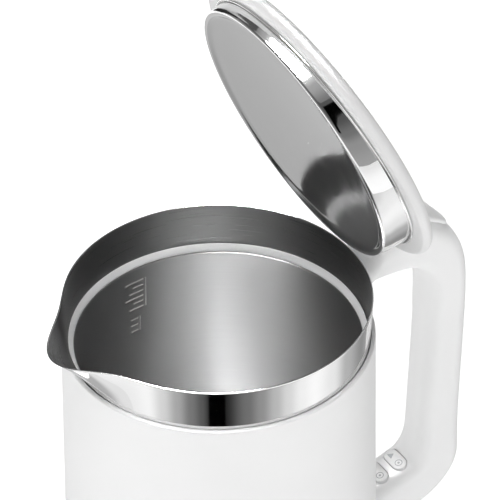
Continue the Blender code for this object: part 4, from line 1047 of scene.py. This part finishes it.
def make_ceiling_card():
    """The soft box over the mouth, seen only in reflections: bright, and fading to its edge."""
    reach, height = 1.9, 2.4
    ring = [Vector((reach * cos(a), reach * sin(a), 0)) for a in turns(64)]
    mesh = bpy.data.meshes.new("ceiling_card")
    mesh.from_pydata(ring, [], [tuple(range(64))])
    card = bpy.data.objects.new("ceiling_card", mesh)
    bpy.context.scene.collection.objects.link(card)
    card.location = (-0.27, 0.16, height)
    made, tree, glow = emission_material("ceiling_card_glow", CEILING_GLOW)
    place = tree.nodes.new("ShaderNodeTexCoord")
    length = tree.nodes.new("ShaderNodeVectorMath")
    length.operation = "LENGTH"
    tree.links.new(place.outputs["Object"], length.inputs[0])
    share = tree.nodes.new("ShaderNodeMapRange")
    share.inputs["From Max"].default_value = reach
    tree.links.new(length.outputs["Value"], share.inputs["Value"])
    ramp = tree.nodes.new("ShaderNodeValToRGB")
    ramp_stops(ramp.color_ramp,
               [(0.0, 1.0), (0.35, 0.95), (0.46, 0.01), (0.6, 0.006), (1.0, 0.003)])
    tree.links.new(share.outputs["Result"], ramp.inputs["Fac"])
    tree.links.new(ramp.outputs["Color"], glow.inputs["Color"])
    mesh.materials.append(made)
    glossy_only(card)


def make_card(name, azimuth, elevation, distance, width, height, glow_strength):
    """An upright flat card that faces the kettle, seen only in reflections."""
    out = Vector((cos(radians(azimuth)) * cos(radians(elevation)),
                  sin(radians(azimuth)) * cos(radians(elevation)), sin(radians(elevation))))
    middle = Vector((0.02, 0, 0.25)) + out * distance
    side = out.cross(Vector((0, 0, 1))).normalized() * width / 2
    rise = side.cross(out).normalized() * height / 2
    mesh = bpy.data.meshes.new(name)
    corners = [middle - side - rise, middle + side - rise,
               middle + side + rise, middle - side + rise]
    mesh.from_pydata(corners, [], [(0, 1, 2, 3)])
    card = bpy.data.objects.new(name, mesh)
    bpy.context.scene.collection.objects.link(card)
    mesh.materials.append(emission_material(f"{name}_glow", glow_strength)[0])
    glossy_only(card)


def make_lights():
    world = bpy.data.worlds.new("studio_air")
    bpy.context.scene.world = world
    world.use_nodes = True
    tree = world.node_tree
    place = tree.nodes.new("ShaderNodeTexCoord")
    parts = tree.nodes.new("ShaderNodeSeparateXYZ")
    tree.links.new(place.outputs["Generated"], parts.inputs[0])
    side = tree.nodes.new("ShaderNodeMapRange")
    side.inputs["From Min"].default_value = -1
    side.inputs["To Min"].default_value = WORLD_LEFT
    side.inputs["To Max"].default_value = WORLD_RIGHT
    tree.links.new(parts.outputs["X"], side.inputs["Value"])
    path = tree.nodes.new("ShaderNodeLightPath")
    seen = tree.nodes.new("ShaderNodeMix")
    tree.links.new(path.outputs["Is Camera Ray"], seen.inputs["Factor"])
    tree.links.new(side.outputs["Result"], seen.inputs["A"])
    seen.inputs["B"].default_value = BACKDROP_GLOW
    tree.nodes["Background"].inputs["Color"].default_value = (1, 1, 1, 1)
    tree.links.new(seen.outputs["Result"], tree.nodes["Background"].inputs["Strength"])
    for name, place, size, power in (
        ("key_light", (-1.05, -0.8, 0.8), 1.0, 6.0),
        ("front_light", (-0.6, -1.15, 1.15), 0.8, 1.6),
        ("right_light", (1.0, -0.85, 0.42), 0.9, 2.4),
        ("back_light", (-0.6, 1.2, 0.9), 1.0, 6.5),
        ("top_light", (-0.15, -0.2, 1.7), 1.1, 9.0),
    ):
        lamp = bpy.data.lights.new(name, "AREA")
        lamp.shape = "DISK"
        lamp.size = size
        lamp.energy = power
        holder = bpy.data.objects.new(name, lamp)
        bpy.context.scene.collection.objects.link(holder)
        holder.location = place
        holder.visible_glossy = False
        holder.visible_camera = False
        aim = Vector((0, 0, 0.15)) - Vector(place)
        holder.rotation_euler = aim.to_track_quat("-Z", "Y").to_euler()


def make_camera():
    lens = bpy.data.cameras.new("photo_camera")
    lens.lens = CAMERA_LENS
    lens.sensor_width = 36
    camera = bpy.data.objects.new("photo_camera", lens)
    bpy.context.scene.collection.objects.link(camera)
    back = Vector((sin(CAMERA_AZIMUTH) * cos(CAMERA_ELEVATION),
                   -cos(CAMERA_AZIMUTH) * cos(CAMERA_ELEVATION), sin(CAMERA_ELEVATION)))
    camera.location = CAMERA_AT
    camera.rotation_euler = (-back).to_track_quat("-Z", "Y").to_euler()
    bpy.context.scene.camera = camera


def main():
    bpy.context.scene.view_settings.view_transform = "Standard"
    make_camera()
    looks = make_materials()
    dress_frame_nodes(looks)
    make_body(looks)
    make_collar(looks)
    make_seal(looks)
    make_pot(looks)
    make_level_marks(looks)
    make_lid_cover(looks)
    make_lid_pan(looks)
    make_lever(looks)
    make_handle(looks)
    make_buttons(looks)
    make_base(looks)
    make_floor()
    make_floor_card()
    make_tent()
    make_ceiling_card()
    make_card("dark_back_card", 80, 6, 1.2, 1.1, 1.0, 0.03)
    make_card("black_strip_card", 263, 36, 1.2, 0.11, 0.5, 0.0)
    make_lights()


main()
